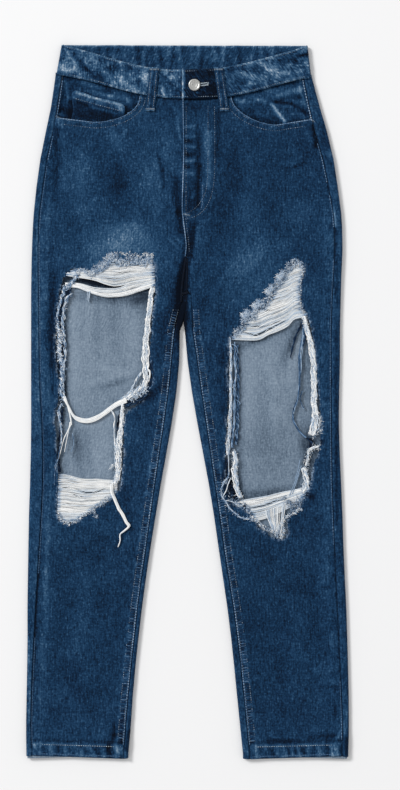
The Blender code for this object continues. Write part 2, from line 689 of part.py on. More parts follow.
def band_profile(share):
    """The band's path at one height, from the underlap round the back to the tab's end."""
    radius = (BAND_TOP - SEAT_FLOOR) / 2.0
    sides = []
    for edge in (BAND_RIGHT_SIDE, BAND_LEFT_SIDE):
        sides.append((mix(edge.bottom_x, edge.top_x, share), mix(edge.bottom_up, edge.top_up, share)))
    right_x = sides[0][0] + radius
    left_x = sides[1][0] - radius
    path = []
    for k in range(BAND_STRIPS):
        x = mix(UNDERLAP_X, right_x, k / BAND_STRIPS)
        path.append((x, mix(band_edge("bottom", x), band_edge("top", x), share), BAND_TOP))
    for k in range(ARC_STRIPS + 1):
        angle = math.pi * k / ARC_STRIPS
        x = right_x - radius * math.sin(angle)
        path.append((x, sides[0][1], SEAT_FLOOR + radius + radius * math.cos(angle)))
    for k in range(1, BAND_STRIPS):
        x = mix(right_x, left_x, k / BAND_STRIPS)
        path.append((x, mix(sides[0][1], sides[1][1], k / BAND_STRIPS), SEAT_FLOOR))
    for k in range(ARC_STRIPS + 1):
        angle = math.pi * k / ARC_STRIPS
        x = left_x + radius * math.sin(angle)
        path.append((x, sides[1][1], SEAT_FLOOR + radius - radius * math.cos(angle)))
    stops = [mix(left_x, TAB_RAMP_X, k / BAND_STRIPS) for k in range(1, BAND_STRIPS + 1)]
    for start, end in ((TAB_RAMP_X, TAB_FLAT_X), (TAB_FLAT_X, FLY_EDGE_X)):
        stops += [mix(start, end, k / TAB_STRIPS) for k in range(1, TAB_STRIPS + 1)]
    for x in stops:
        path.append((x, mix(band_edge("bottom", x), band_edge("top", x), share), band_level(x)))
    return [place(x, up, z) for x, up, z in path]


def buttonhole_outline():
    """A keyhole: a round end for the button's shank and a narrow slit."""
    radius = SHANK_RADIUS + SEAM_GAP
    start = math.asin(BUTTONHOLE_HALF / radius)
    points = [Point(BUTTONHOLE_END_X, BUTTON_UP + BUTTONHOLE_HALF)]
    for k in range(HOLE_CORNERS):
        angle = mix(start, 2.0 * math.pi - start, k / (HOLE_CORNERS - 1))
        points.append(Point(BUTTON_X + radius * math.cos(angle), BUTTON_UP + radius * math.sin(angle)))
    points.append(Point(BUTTONHOLE_END_X, BUTTON_UP - BUTTONHOLE_HALF))
    return points


band = sheet("waistband", [band_profile(1.0), band_profile(0.5), band_profile(0.0)], BAND_WALL, BAND_BLUE)
slot = cutter("buttonhole_cut", buttonhole_outline())
slot.data = prism("buttonhole_cut", buttonhole_outline(), BAND_TOP + SEAM_GAP / 2.0, CUT_HIGH)
combine(band, slot, "DIFFERENCE")


# ---------------------------------------------------------------- belt loops
def front_loop(name, side, ends):
    """A folded strip over the waistband, sewn down on the front panel below it."""
    top, foot = ends
    edge = band_edge("bottom", foot.x)
    band_z = BAND_TOP + SEAM_GAP + LOOP_WALL
    rows = []
    rise = edge - 2.0
    for up in (foot.up, rise - LOOP_STEP, rise, (edge + top.up) / 2.0, top.up):
        x = mix(foot.x, top.x, (up - foot.up) / (top.up - foot.up))
        low = front_level(side, x, up) + SEAM_GAP + LOOP_WALL
        z = mix(low, band_z, ease(rise - LOOP_STEP, rise, up))
        rows.append([place(x - LOOP_WIDTH / 2.0, up, z), place(x + LOOP_WIDTH / 2.0, up, z)])
    sheet(name, rows, LOOP_WALL, DENIM_BLUE)


def back_loop(name, x):
    """A strip under the back of the waistband, on the surface that the garment lies on."""
    top = back_band("top_up", x)
    rows = []
    for up in (top - LOOP_LENGTH, top):
        rows.append([place(x + LOOP_WIDTH / 2.0, up, 0.0), place(x - LOOP_WIDTH / 2.0, up, 0.0)])
    sheet(name, rows, DENIM, DENIM_BLUE)


front_loop("belt_loop_front_right", RIGHT, RIGHT_LOOP)
front_loop("belt_loop_front_left", LEFT, LEFT_LOOP)
for loop_name, loop_x in BACK_LOOP_SPOTS:
    back_loop(loop_name, loop_x)


# ---------------------------------------------------------------- back pockets
def back_pocket(side):
    tilt = math.radians(POCKET_TILT) * side.sign
    points = []
    for corner in POCKET_OUTLINE:
        x = corner.x * math.cos(tilt) - corner.up * math.sin(tilt) + POCKET_CENTRE.x * side.sign
        up = corner.x * math.sin(tilt) + corner.up * math.cos(tilt) + POCKET_CENTRE.up
        points.append(Point(x, up))
    mesh = prism("back_pocket_" + side.name, points, 0.0, DENIM)
    add_object("back_pocket_" + side.name, mesh, DENIM_BLUE)


back_pocket(RIGHT)
back_pocket(LEFT)


# ---------------------------------------------------------------- zip and button
def zip_tape():
    """The closed zip, a plain strip beside the right front's edge and under the fly."""
    left_x = RISE_X + SEAM_GAP / 2.0
    top = band_edge("bottom", 0.0) - 1.0
    rows = []
    for k in range(ZIP_ROWS):
        up = mix(ZIP_START, top, k / (ZIP_ROWS - 1))
        z = front_level(RIGHT, RISE_X, up)
        rows.append([place(left_x, up, z), place(left_x + ZIP_WIDTH, up, z)])
    sheet("zip", rows, ZIP_WALL, ZIP_TAPE)


def button():
    """A turned button: domed cap with a dished face, on a shank that stands on the underlap."""
    foot = BAND_TOP + SEAM_GAP
    under = BAND_TOP + BAND_WALL + 2.0 * SEAM_GAP
    profile = [
        (0.0, under + 1.7), (5.2, under + 1.8), (6.0, under + 2.5), (7.2, under + 2.6),
        (BUTTON_RADIUS, under + 1.7), (BUTTON_RADIUS, under + 0.8), (BUTTON_RADIUS - 0.8, under),
        (SHANK_RADIUS, under), (SHANK_RADIUS, foot), (0.0, foot),
    ]
    bm = bmesh.new()
    points = [bm.verts.new((radius * MM, 0.0, z * MM)) for radius, z in profile]
    for first, second in zip(points, points[1:]):
        bm.edges.new((first, second))
    mesh = bpy.data.meshes.new("button")
    bm.to_mesh(mesh)
    bm.free()
    piece = add_object("button", mesh, BUTTON_METAL)
    piece.location = place(BUTTON_X, BUTTON_UP, 0.0)
    screw = piece.modifiers.new("turn", "SCREW")
    screw.axis = "Z"
    screw.steps = BUTTON_STEPS
    screw.render_steps = BUTTON_STEPS
    screw.use_merge_vertices = True
    screw.merge_threshold = 0.00001
    screw.use_smooth_shade = True


zip_tape()
button()
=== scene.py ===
"""High-waisted ripped jeans, laid flat with the front up: cloth, seams, torn threads and trim."""
import math
from collections import namedtuple

import bpy
import bmesh
import numpy as np
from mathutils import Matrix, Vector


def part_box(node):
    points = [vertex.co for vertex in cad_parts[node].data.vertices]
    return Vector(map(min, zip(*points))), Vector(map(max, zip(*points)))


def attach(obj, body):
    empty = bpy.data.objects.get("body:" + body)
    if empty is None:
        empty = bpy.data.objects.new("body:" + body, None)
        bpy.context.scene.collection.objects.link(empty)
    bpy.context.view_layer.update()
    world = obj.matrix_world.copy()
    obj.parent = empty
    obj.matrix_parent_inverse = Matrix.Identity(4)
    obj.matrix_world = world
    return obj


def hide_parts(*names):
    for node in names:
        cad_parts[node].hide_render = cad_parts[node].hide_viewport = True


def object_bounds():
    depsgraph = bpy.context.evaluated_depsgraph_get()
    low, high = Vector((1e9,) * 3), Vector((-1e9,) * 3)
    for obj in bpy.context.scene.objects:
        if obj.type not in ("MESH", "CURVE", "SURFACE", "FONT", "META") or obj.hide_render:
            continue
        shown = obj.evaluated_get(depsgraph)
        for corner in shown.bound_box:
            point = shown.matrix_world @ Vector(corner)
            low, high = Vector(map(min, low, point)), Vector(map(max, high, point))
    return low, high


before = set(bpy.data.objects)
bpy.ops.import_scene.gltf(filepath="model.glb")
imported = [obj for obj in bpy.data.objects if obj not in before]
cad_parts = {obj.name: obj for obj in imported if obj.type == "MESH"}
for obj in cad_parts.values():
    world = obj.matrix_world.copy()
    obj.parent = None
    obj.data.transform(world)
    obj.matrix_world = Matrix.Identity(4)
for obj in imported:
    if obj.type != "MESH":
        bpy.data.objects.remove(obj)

solid_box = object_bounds()


# ---------------- front panels
# Two pieces of washed 1.2 mm denim, one for each leg, joined down the centre of the seat
# and sewn to the back pieces at the outseams and inseams. Both are torn open over the thigh
# and knee. Sizes are millimetres: x across, up from the hem line, z from the surface below.
MM = 0.001
LENGTH = (solid_box[1].y - solid_box[0].y) / MM
ZERO_X = 0.8                # the centre seam's zero line lies this far left of the middle
DENIM = 1.2
SEAM_GAP = 0.3              # sewn layers lie this far apart
CROTCH = 643
SEAT_START = 620
SEAT_END = 700
LEG_TOP = 6                 # top of the front layer at a leg's edges
LEG_SAG = 1.3               # and how much lower its middle lies
SEAT_TOP = 6.8
HEM_TOP = 7.5
HEM_HEIGHT = 17
HEM_SLANT_END = 100
BAND_TOP = 8
FLY_LIFT = 1.5              # the fly lies on the right front
FLY_FLAT = 30
FLY_END = 46
PANEL_TOP = 957
FRONT_CENTRE_TOP = 915      # the panels' centre edges end under the waistband above this
TUCK = 3.5                  # how far a panel goes in under the waistband
UNDER_BAND = 5              # and how high it lies there
FRONT_COLUMNS = 84
FRONT_ROWS = 410
RAGGED = 1.1                # unevenness of a torn edge
DENIM_TONE = 0.33           # shade of the washed cloth: 0 is the dark dye, 1 is bare
# strength of the painted shade in the hollow between the legs
CROTCH_PAINTED_SHADE = 0.42


def mix(first, last, share):
    return first + (last - first) * share


def ease(low, high, value):
    """0 below low, 1 above high, with a soft step between."""
    share = np.clip((value - low) / (high - low), 0, 1)
    return share * share * (3 - 2 * share)


def bump(distance, width):
    """A soft hump of height 1 where the distance is 0."""
    return np.exp(-(distance / width) ** 2)


def wave(x, up, size_x, size_up, seed):
    """Smooth uneven heights between -1 and 1 in cells of the given size."""
    table = np.random.default_rng(seed).uniform(-1, 1, (256, 256))
    column = np.floor(x / size_x).astype(int)
    row = np.floor(up / size_up).astype(int)
    across = ease(0, 1, x / size_x - column)
    along = ease(0, 1, up / size_up - row)

    def corner(right, above):
        return table[(column + right) % 256, (row + above) % 256]

    lower = mix(corner(0, 0), corner(1, 0), across)
    upper = mix(corner(0, 1), corner(1, 1), across)
    return mix(lower, upper, along)


def place(x, up, z):
    """Garment millimetres to metres in the frame."""
    x, up, z = np.broadcast_arrays(x, up, z)
    return np.stack([(x + ZERO_X) * MM, (up - LENGTH / 2) * MM, z * MM], axis=-1)


def reach(node, axis, places, above=-1):
    """Least and greatest extent of a CAD piece on planes across one axis, 0 for x and 1 for up."""
    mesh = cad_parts[node].data
    points = np.array([vertex.co for vertex in mesh.vertices]) / MM
    points[:, 0] -= ZERO_X
    points[:, 1] += LENGTH / 2
    ends = points[np.array([edge.vertices[:] for edge in mesh.edges])]
    ends = ends[(ends[:, :, 2] > above).all(axis=1)]
    first = ends[:, 0]
    last = ends[:, 1]
    found = []
    for spot in places:
        over = (first[:, axis] - spot) * (last[:, axis] - spot) < 0
        share = (spot - first[over, axis]) / (last[over, axis] - first[over, axis])
        values = mix(first[over, 1 - axis], last[over, 1 - axis], share)
        found.append((values.min(), values.max()) if len(values) else (np.nan, np.nan))
    return np.array(found).T


UPS = np.concatenate([np.arange(6.1, SEAT_START, 9), np.arange(SEAT_START, PANEL_TOP - 2, 4.7)])
Leg = namedtuple("Leg", "name sign outseam inner fold_out fold_in")


def leg_edges(name, sign):
    """The edges of one leg's front piece, and of the folds that the back piece turns round."""
    pick = 0 if sign < 0 else 1
    choose = np.fmin if sign < 0 else np.fmax
    front = reach("front_" + name, 1, UPS)
    facing = reach("pocket_facing_" + name, 1, UPS)
    back = reach("back_" + name, 1, UPS)
    yoke = reach("yoke_" + name, 1, UPS)
    fold_out = choose(back[pick], yoke[pick])
    inner = front[1 - pick]
    inner[UPS > FRONT_CENTRE_TOP] = inner[UPS <= FRONT_CENTRE_TOP][-1]
    fold_in = back[1 - pick]
    fold_in = fold_in - sign * 3 * ease(598, 614, UPS)    # the thighs nearly touch here
    fold_in[UPS > CROTCH] = fold_in[UPS <= CROTCH][-1]
    return Leg(name, sign, choose(front[pick], facing[pick]), inner, fold_out, fold_in)


RIGHT = leg_edges("right", -1)
LEFT = leg_edges("left", 1)


def across(leg, column, up):
    """One edge of a leg at a height."""
    values = getattr(leg, column)
    known = ~np.isnan(values)
    return np.interp(up, UPS[known], values[known])


BAND_XS = np.arange(-176, 166, 6)
BAND_LOW, BAND_HIGH = reach("waistband", 0, BAND_XS, above=4.9)


def band_low(x):
    """Lower edge of the waistband's front."""
    return np.interp(x, BAND_XS, BAND_LOW)


# Soft folds of the cloth: x, up of the middle, angle in degrees, length, width, height or depth.
FRONT_FOLDS = [
    (-24, 600, 98, 150, 20, 0.9), (26, 590, 78, 150, 18, 0.9), (-197, 250, 91, 300, 16, 0.7),
    (192, 230, 88, 320, 16, 0.7), (-150, 205, 84, 170, 24, 0.8), (150, 150, 95, 190, 24, 0.8),
    (-70, 770, 62, 120, 26, 0.6), (85, 770, 118, 120, 26, 0.6), (12.6, 830, 90, 170, 7, -1.5),
    (-190, 600, 90, 240, 14, -1.4), (20, 700, 72, 130, 12, -0.7), (40, 655, 62, 110, 12, 0.7),
    (-40, 640, 112, 100, 12, 0.6), (60, 740, 50, 90, 12, 0.5), (-120, 780, 20, 110, 14, 0.35),
    (130, 790, 158, 120, 14, 0.35), (-150, 290, 20, 90, 14, -0.4), (-120, 255, 12, 110, 16, 0.5),
    (-170, 150, 160, 80, 12, 0.45), (-130, 90, 172, 120, 14, -0.4), (120, 262, 168, 120, 16, 0.5),
    (160, 235, 155, 90, 13, -0.45), (170, 120, 20, 90, 14, 0.4), (120, 70, 8, 110, 13, -0.35),
]


# Rubbed pale lines, painted highlights on ridges and edges, and painted shade in hollows and creases:
# x, up of both ends, width, and how much lighter or darker.
RIGHT_MARKS = [
    (-184, 880, -186, 785, 6, -0.13), (-172, 870, -174, 800, 6, 0.05), (-152, 850, -150, 765, 10, 0.06),
    (-100, 845, -96, 795, 12, -0.07), (-118, 794, -95, 802, 9, -0.04), (-167, 836, -161, 825, 1.8, 0.16),
    (-110, 880, -96, 855, 6, 0.08), (-95, 890, -88, 880, 1.8, 0.12), (-88, 880, -93, 870, 1.8, 0.10),
    (-181, 896, -181, 886, 2, 0.14), (-42, 846, -36, 824, 1.6, -0.20), (-36, 824, -34, 800, 1.6, -0.18),
    (-46, 848, -39, 800, 2, 0.10), (-27, 920, -10, 902, 1.8, 0.12), (-15, 898, -11, 868, 2.4, 0.18),
    (-32, 885, -28, 850, 8, 0.05), (-17, 812, -14, 768, 6, -0.20), (-13, 765, -9, 737, 4, -0.22),
    (-28, 798, -19, 760, 1.8, 0.08), (-25, 727, -9, 711, 1.8, 0.12), (-20, 733, -8, 722, 1.6, 0.09),
    (-55, 830, -45, 770, 10, 0.06), (-190, 675, -190, 550, 7, -0.15), (-205, 730, -204, 500, 5, 0.07),
    (-198, 400, -200, 60, 3, 0.06), (-36, 690, -30, 640, 9, 0.05), (-205, 445, -209, 275, 2.2, -0.22),
    (-209, 275, -218, 112, 2.2, -0.24), (-218, 112, -220, 45, 2, -0.2), (-22, 640, -20, 560, 5, -0.14),
    (-44, 541, -24, 556, 3, 0.08), (-62, 502, -30, 525, 9, -0.14), (-78, 495, -52, 511, 4, -0.24),
    (-100, 735, -70, 745, 10, 0.06), (-115, 722, -85, 715, 5, 0.05), (-90, 380, -84, 345, 6, -0.10),
    (-120, 357, -108, 366, 5, -0.22), (-86, 330, -79, 322, 4, -0.16), (-120, 490, -75, 440, 14, 0.03),
    (-104, 50, -103, 34, 2.4, -0.22), (-103, 34, -112, 16, 2.6, -0.22), (-95, 52, -92, 24, 5, -0.10),
    (-118, 40, -128, 30, 5, 0.05), (-160, 120, -150, 90, 14, -0.03), (-221, 25, -220, 7, 1.8, 0.18),
    (-215, 20, -216, 7, 3, 0.13), (-193, 18, -191, 7, 3, 0.16), (-172, 17, -171, 4, 1.8, 0.18),
    (-148, 16, -149, 4, 1.8, 0.18), (-137, 18, -134, 12, 1.8, 0.13), (-118, 12, -117, 4, 1.8, 0.16),
    (-98, 15, -98, 5, 4, 0.16), (-91, 16, -91, 4, 1.6, 0.24), (-203, 16, -201, 8, 3, -0.16),
    (-182, 16, -181, 7, 3, -0.18), (-164, 14, -160, 7, 4, -0.14), (-129, 13, -126, 6, 4, -0.12),
    (-111, 16, -109, 4, 4, -0.26), (-87, 15, -87, 4, 2, -0.28),
]
LEFT_MARKS = [
    (4, 905, 4, 775, 8, -0.06), (-3, 885, 9, 886, 2.2, 0.24), (-3, 872, 9, 871, 2, 0.24),
    (-3, 858, 10, 857, 2.2, 0.26), (-3, 837, 9, 838, 2.6, 0.25), (-2, 820, 8, 819, 2, 0.22),
    (-4, 865, 4, 865, 2, -0.22), (-4, 846, 9, 847, 2.6, -0.24), (-4, 829, 2, 829, 2, -0.22),
    (2, 915, 14, 912, 8, -0.14), (3, 802, 2, 768, 7, -0.10), (1, 787, 6, 786, 1.8, 0.11),
    (6, 786, 9, 796, 1.8, 0.11), (15, 872, 16, 830, 2.6, -0.14), (16, 830, 14, 775, 3.4, -0.24),
    (26, 895, 25, 850, 4, 0.10), (29, 875, 29, 800, 4, 0.16), (21, 806, 19, 772, 1.8, 0.14),
    (42, 905, 42, 845, 3, -0.14), (-8, 765, 0, 762, 1.8, 0.22), (-1, 757, 4, 758, 1.8, 0.15),
    (20, 752, 30, 756, 2, 0.12), (20, 746, 12, 742, 1.8, 0.10), (9, 748, 5, 702, 3, -0.18),
    (15, 744, 9, 706, 1.8, 0.09), (6, 700, 5, 682, 1.8, 0.11), (66, 852, 67, 800, 11, -0.09),
    (132, 827, 150, 829, 1.6, -0.12), (150, 829, 163, 836, 1.6, -0.13), (130, 833, 152, 835, 2, 0.05),
    (145, 760, 160, 772, 13, 0.05), (176, 886, 180, 858, 3.6, -0.24), (70, 700, 130, 715, 14, 0.05),
    (86, 690, 110, 735, 10, 0.05), (50, 575, 52, 470, 8, -0.08), (35, 565, 41, 543, 2, 0.09),
    (56, 418, 50, 386, 4, -0.20), (53, 376, 66, 358, 5, -0.28), (190, 505, 200, 504, 2, -0.16),
    (184, 496, 200, 495, 1.8, 0.07), (182, 446, 186, 444, 4, -0.26), (164, 371, 173, 367, 4, -0.24),
    (188, 101, 212, 101, 2.2, -0.12), (196, 109, 212, 109, 2.6, 0.11), (205, 84, 206, 60, 3, -0.10),
    (190, 240, 201, 240, 2.6, -0.11), (112, 26, 145, 26, 3, -0.15), (170, 31, 205, 33, 3, -0.15),
    (216, 60, 217, 46, 1.8, 0.20), (217, 46, 207, 28, 2, 0.20), (104, 20, 99, 30, 1.8, 0.12),
    (133, 17, 138, 5, 1.7, 0.30), (125, 17, 125, 8, 1.8, 0.15), (146, 18, 147, 5, 2, 0.24),
    (153, 19, 157, 4, 1.7, 0.32), (168, 20, 168, 5, 2.6, 0.15), (183, 16, 184, 7, 4, 0.15),
    (199, 18, 203, 4, 1.8, 0.26), (208, 15, 208, 8, 4, 0.17), (110, 18, 107, 8, 3, 0.13),
    (96, 15, 98, 6, 4, 0.15), (118, 14, 121, 6, 4, -0.18), (141, 13, 142, 7, 2.2, -0.18),
    (150, 12, 151, 7, 2, -0.16), (161, 14, 163, 7, 2.6, -0.18), (175, 14, 175, 7, 2.6, -0.16),
    (195, 16, 196, 7, 3, -0.22), (212, 14, 212, 7, 2, -0.14),
]


def wear_and_shade(table, x, up):
    """How much lighter or darker the marks of a table leave the cloth: rubbed wear, painted highlight and
    painted shade.
    """
    total = np.zeros(np.broadcast(x, up).shape)
    for start_x, start_up, end_x, end_up, width, light in table:
        run_x = end_x - start_x
        run_up = end_up - start_up
        share = ((x - start_x) * run_x + (up - start_up) * run_up) / (run_x ** 2 + run_up ** 2 + 1e-9)
        share = np.clip(share, 0, 1)
        total += light * bump(np.hypot(x - start_x - run_x * share, up - start_up - run_up * share), width)
    return total


def turned(x, up, degrees):
    """The same offset, along and across a direction."""
    angle = math.radians(degrees)
    return x * math.cos(angle) + up * math.sin(angle), up * math.cos(angle) - x * math.sin(angle)


def relief(table, x, up):
    """Sum of soft folds; each ridge has a shallow trough along one side of it."""
    total = np.zeros(np.broadcast(x, up).shape)
    for mid_x, mid_up, turn, length, width, height in table:
        right, high = turned(x - mid_x, up - mid_up, turn)
        aside = high / width * 2 + 0.35 * np.sin(right * 0.045 + mid_x)
        run = np.clip(1 - (2 * right / length) ** 2, 0, None)
        total += height * run * (bump(aside, 1) - 0.35 * bump(aside - 1.9, 1))
    return total


def crotch_line(up):
    """Middle of the hollow where the two legs meet."""
    return np.interp(up, [600, 650, 670, 690, 705, 720, 745], [-9, -9, -7.5, -5, -2, 1, 3])


def crotch_valley(x, up):
    """Depth of the hollow where the two legs meet."""
    width = np.interp(up, [600, 664, 715], [10, 8, 5])
    depth = 3.6 * ease(590, 640, up) * (1 - ease(665, 735, up))
    return depth * bump(x - crotch_line(up), width)


def crotch_shade(x, up):
    """The hollow is deep in shade, from the ends of the inseams up to the fly."""
    half = np.interp(up, [590, 640, 675, 700, 720, 750], [8, 8.5, 7.5, 5, 6, 4])
    side = 1 - ease(half - 4, half + 4.5, np.abs(x - crotch_line(up)))
    return side * ease(560, 620, up) * (1 - 0.5 * ease(672, 715, up)) * (1 - ease(722, 762, up))


def level(leg, x, up):
    """Top of the front layer, above the surface that the jeans lie on."""
    outer = across(leg, "fold_out", up)
    inner = across(leg, "inner", up)
    share = np.clip((x - outer) / (inner - outer), 0, 1)
    bowl = (4 * share * (1 - share)) ** 2
    seat = mix(LEG_TOP, SEAT_TOP, ease(SEAT_START, SEAT_END, up))
    edge = mix(HEM_TOP, seat, ease(HEM_HEIGHT + 5, 46, up))
    sag = LEG_SAG * ease(24, 90, up) * (1 - ease(SEAT_START, SEAT_END, up)) * bowl
    free = np.clip(6 * share * (1 - share), 0.15, 1)
    z = edge - sag + free * relief(FRONT_FOLDS, x, up)
    z = z + free * (0.40 * wave(x, up, 42, 60, 1) + 0.16 * wave(x, up, 17, 25, 2))
    if leg is LEFT:
        z = z + FLY_LIFT * ease(715, 745, up) * (1 - ease(FLY_FLAT, FLY_END, x))
    return z - crotch_valley(x, up)


# Pocket openings: a quarter of an oval down from the waistband, then a straight line up to
# the outseam. A fullness of 1 is a true oval, and more than 1 cuts its corner.
Opening = namedtuple("Opening", "top_x top_up width depth fullness side_x side_up")
RIGHT_OPENING = Opening(-68, 927, 64, 35, 1, -215, 902)
LEFT_OPENING = Opening(61, 926, 62, 38, 1.18, 205, 901)


def opening_edge(opening):
    """Points x, up down the curve of a pocket opening and along it to the outseam."""
    angle = np.radians(np.arange(0, 91, 7.5))
    over = opening.width * (1 - np.clip(np.cos(angle), 0, 1) ** opening.fullness)
    curve_x = opening.top_x + math.copysign(1, opening.top_x) * over
    curve_up = opening.top_up - opening.depth * np.sin(angle) ** opening.fullness
    points = [(x, up) for x, up in zip(curve_x, curve_up)]
    for share in (0.2, 0.4, 0.6, 0.8, 1):
        points.append((mix(curve_x[-1], opening.side_x, share), mix(curve_up[-1], opening.side_up, share)))
    return points


def opening_cut(opening):
    """Closed outline of what the opening takes off its panel."""
    edge = opening_edge(opening)
    outside = math.copysign(20, opening.top_x)
    return edge + [(opening.side_x + outside, 940), (opening.side_x, 985), (opening.top_x * 1.4, 985),
                   (opening.top_x, 950)]


RIGHT_RIP = [
    (-153, 687), (-134, 684), (-119, 690), (-108, 698), (-97, 695), (-74, 695), (-60, 696), (-52, 702),
    (-47, 690), (-46, 655), (-50, 620), (-53, 560), (-50, 530), (-62, 505), (-88, 480), (-90, 440),
    (-94, 385), (-106, 366), (-128, 352), (-160, 331), (-174, 331), (-183, 345), (-182, 400), (-184, 440),
    (-186, 480), (-180, 520), (-185, 565), (-184, 620), (-178, 660), (-168, 682),
]
LEFT_RIP = [
    (154, 699), (161, 691), (161, 678), (158, 662), (158, 644), (160, 632), (168, 620), (176, 585),
    (181, 530), (186, 470), (184, 435), (176, 412), (170, 380), (158, 358), (141, 343), (138, 313),
    (124, 309), (102, 322), (84, 346), (62, 362), (54, 400), (53, 440), (56, 500), (57, 560), (61, 592),
    (70, 600), (79, 607), (83, 617), (92, 619), (98, 629), (107, 632), (115, 645), (121, 658), (131, 670),
    (139, 684), (146, 694),
]


def smooth_line(points, step, closed=False):
    """Places every step along a smooth line through the points, as an array of their columns."""
    knots = np.array(points, float)
    count = len(knots)
    found = []
    for k in range(count if closed else count - 1):
        near = range(k - 1, k + 3)
        before, start, end, after = (knots[i % count if closed else min(max(i, 0), count - 1)] for i in near)
        pieces = max(1, int(round(np.hypot(*(end - start)[:2]) / step)))
        for share in np.arange(pieces) / pieces:
            found.append(0.5 * (2 * start + (end - before) * share
                                + (2 * before - 5 * start + 4 * end - after) * share ** 2
                                + (3 * start - before - 3 * end + after) * share ** 3))
    return np.array(found if closed else found + [knots[-1]])


def ragged(points, depth, seed):
    """A closed outline with small uneven tears along it."""
    line = smooth_line(points, 3, closed=True)
    noise = np.random.default_rng(seed).uniform(-depth, depth, (len(line), 2))
    return line[:, :2] + noise


def side_of(x, up, line):
    """Distance to a closed outline, less than 0 inside it, and the nearest point on it."""
    nearest = np.full(x.shape, 1e9)
    near_x = np.zeros(x.shape)
    near_up = np.zeros(x.shape)
    inside = np.zeros(x.shape, bool)
    for start, end in zip(line, np.roll(line, -1, axis=0)):
        way = end - start
        share = np.clip(((x - start[0]) * way[0] + (up - start[1]) * way[1]) / (way @ way + 1e-12), 0, 1)
        foot_x = start[0] + way[0] * share
        foot_up = start[1] + way[1] * share
        distance = np.hypot(x - foot_x, up - foot_up)
        closer = distance < nearest
        nearest = np.where(closer, distance, nearest)
        near_x = np.where(closer, foot_x, near_x)
        near_up = np.where(closer, foot_up, near_up)
        if start[1] != end[1]:
            crossing = start[0] + (up - start[1]) / (end[1] - start[1]) * way[0]
            inside ^= ((start[1] > up) != (end[1] > up)) & (x < crossing)
    return np.where(inside, -nearest, nearest), near_x, near_up


def edge_gap(x, up, line):
    return np.abs(side_of(x, up, line)[0])


def snapped(x, up, line, margin):
    """Moves the points nearer than the margin to an outline onto it."""
    distance, near_x, near_up = side_of(x, up, line)
    near = np.abs(distance) < margin
    return np.where(near, near_x, x), np.where(near, near_up, up)


def cloth_grid(columns, rows):
    """A flat grid of cloth, with each point's share of the width and of the length."""
    bm = bmesh.new()
    bmesh.ops.create_grid(bm, x_segments=columns, y_segments=rows, size=0.5)
    mesh = bpy.data.meshes.new("cloth")
    bm.to_mesh(mesh)
    bm.free()
    flat = np.empty(len(mesh.vertices) * 3)
    mesh.vertices.foreach_get("co", flat)
    flat = flat.reshape(-1, 3)
    return mesh, flat[:, 0] + 0.5, flat[:, 1] + 0.5


def shape_cloth(mesh, x, up, z, tone, torn=0, inner=0.5, around=None):
    """Puts a grid's points in place, with its cloth coordinates in metres and its shades."""
    mesh.vertices.foreach_set("co", place(x, up, z).astype(np.float32).ravel())
    corners = np.empty(len(mesh.loops), np.int32)
    mesh.loops.foreach_get("vertex_index", corners)
    cloth = np.stack([x if around is None else around, up], axis=-1) * MM
    mesh.uv_layers.new(name="cloth").data.foreach_set("uv", cloth[corners].astype(np.float32).ravel())
    for name, values in (("tone", tone), ("torn", torn), ("inner", inner)):
        shade = np.broadcast_to(values, x.shape).astype(np.float32)
        mesh.attributes.new(name, "FLOAT", "POINT").data.foreach_set("value", shade)
    mesh.shade_smooth()


def trim(mesh, x, up, lines, keep=False):
    """Removes the faces whose middle lies inside one of the outlines, or keeps only those."""
    bm = bmesh.new()
    bm.from_mesh(mesh)
    corners = np.array([[vertex.index for vertex in face.verts] for face in bm.faces])
    middle_x = x[corners].mean(axis=1)
    middle_up = up[corners].mean(axis=1)
    lost = np.zeros(len(corners), bool)
    for line in lines:
        lost |= side_of(middle_x, middle_up, line)[0] < 0
    faces = [face for face in bm.faces if lost[face.index] != keep]
    bmesh.ops.delete(bm, geom=faces, context="FACES")
    bm.to_mesh(mesh)
    bm.free()


def add_piece(name, mesh, slot, *nodes):
    """Puts a finished mesh in the scene as one piece, in place of its CAD nodes."""
    piece = bpy.data.objects.new(name, mesh)
    bpy.context.scene.collection.objects.link(piece)
    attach(piece, "root")
    if nodes:
        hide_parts(*nodes)
    return piece


def sew(name, mesh, wall, finishes, slot, *nodes):
    """A cloth piece with its wall, outside and reverse."""
    mesh.name = name
    for finish in finishes:
        mesh.materials.append(finish)
    piece = add_piece(name, mesh, slot, *nodes)
    solidify = piece.modifiers.new("wall", "SOLIDIFY")
    solidify.thickness = wall * MM
    solidify.offset = -1
    if len(finishes) > 1:
        solidify.material_offset = 1
        solidify.material_offset_rim = 1
    return piece


def node(tree, kind, inputs, **settings):
    """A shader node with its settings, and its inputs as values or links."""
    made = tree.nodes.new("ShaderNode" + kind)
    for key, value in settings.items():
        setattr(made, key, value)
    for key, value in inputs.items():
        if isinstance(value, bpy.types.NodeSocket):
            tree.links.new(value, made.inputs[key])
        else:
            made.inputs[key].default_value = value
    return made


def srgb(*levels):
    """Linear colour of three display levels from 0 to 255."""
    shares = [value / 255 for value in levels]
    return tuple(s / 12.92 if s <= 0.04045 else ((s + 0.055) / 1.055) ** 2.4 for s in shares) + (1,)


def add_up(tree, start, parts):
    """start plus each part's socket, taken about its middle and times its weight."""
    total = start
    for socket, weight in parts:
        centred = node(tree, "Math", {0: socket, 1: 0.5}, operation="SUBTRACT").outputs[0]
        total = node(tree, "Math", {0: centred, 1: weight, 2: total}, operation="MULTIPLY_ADD").outputs[0]
    return total


def cloth_noise(tree, cloth, across_mm, along_mm, detail, turn=0):
    """Noise in cells of the given size in millimetres, lying along the cloth."""
    scale = (1 / (across_mm * MM), 1 / (along_mm * MM), 1)
    spread = node(tree, "Mapping", {"Vector": cloth, "Rotation": (0, 0, turn), "Scale": scale}).outputs[0]
    values = {"Vector": spread, "Scale": 1, "Detail": detail, "Roughness": 0.6}
    return node(tree, "TexNoise", values).outputs[0]


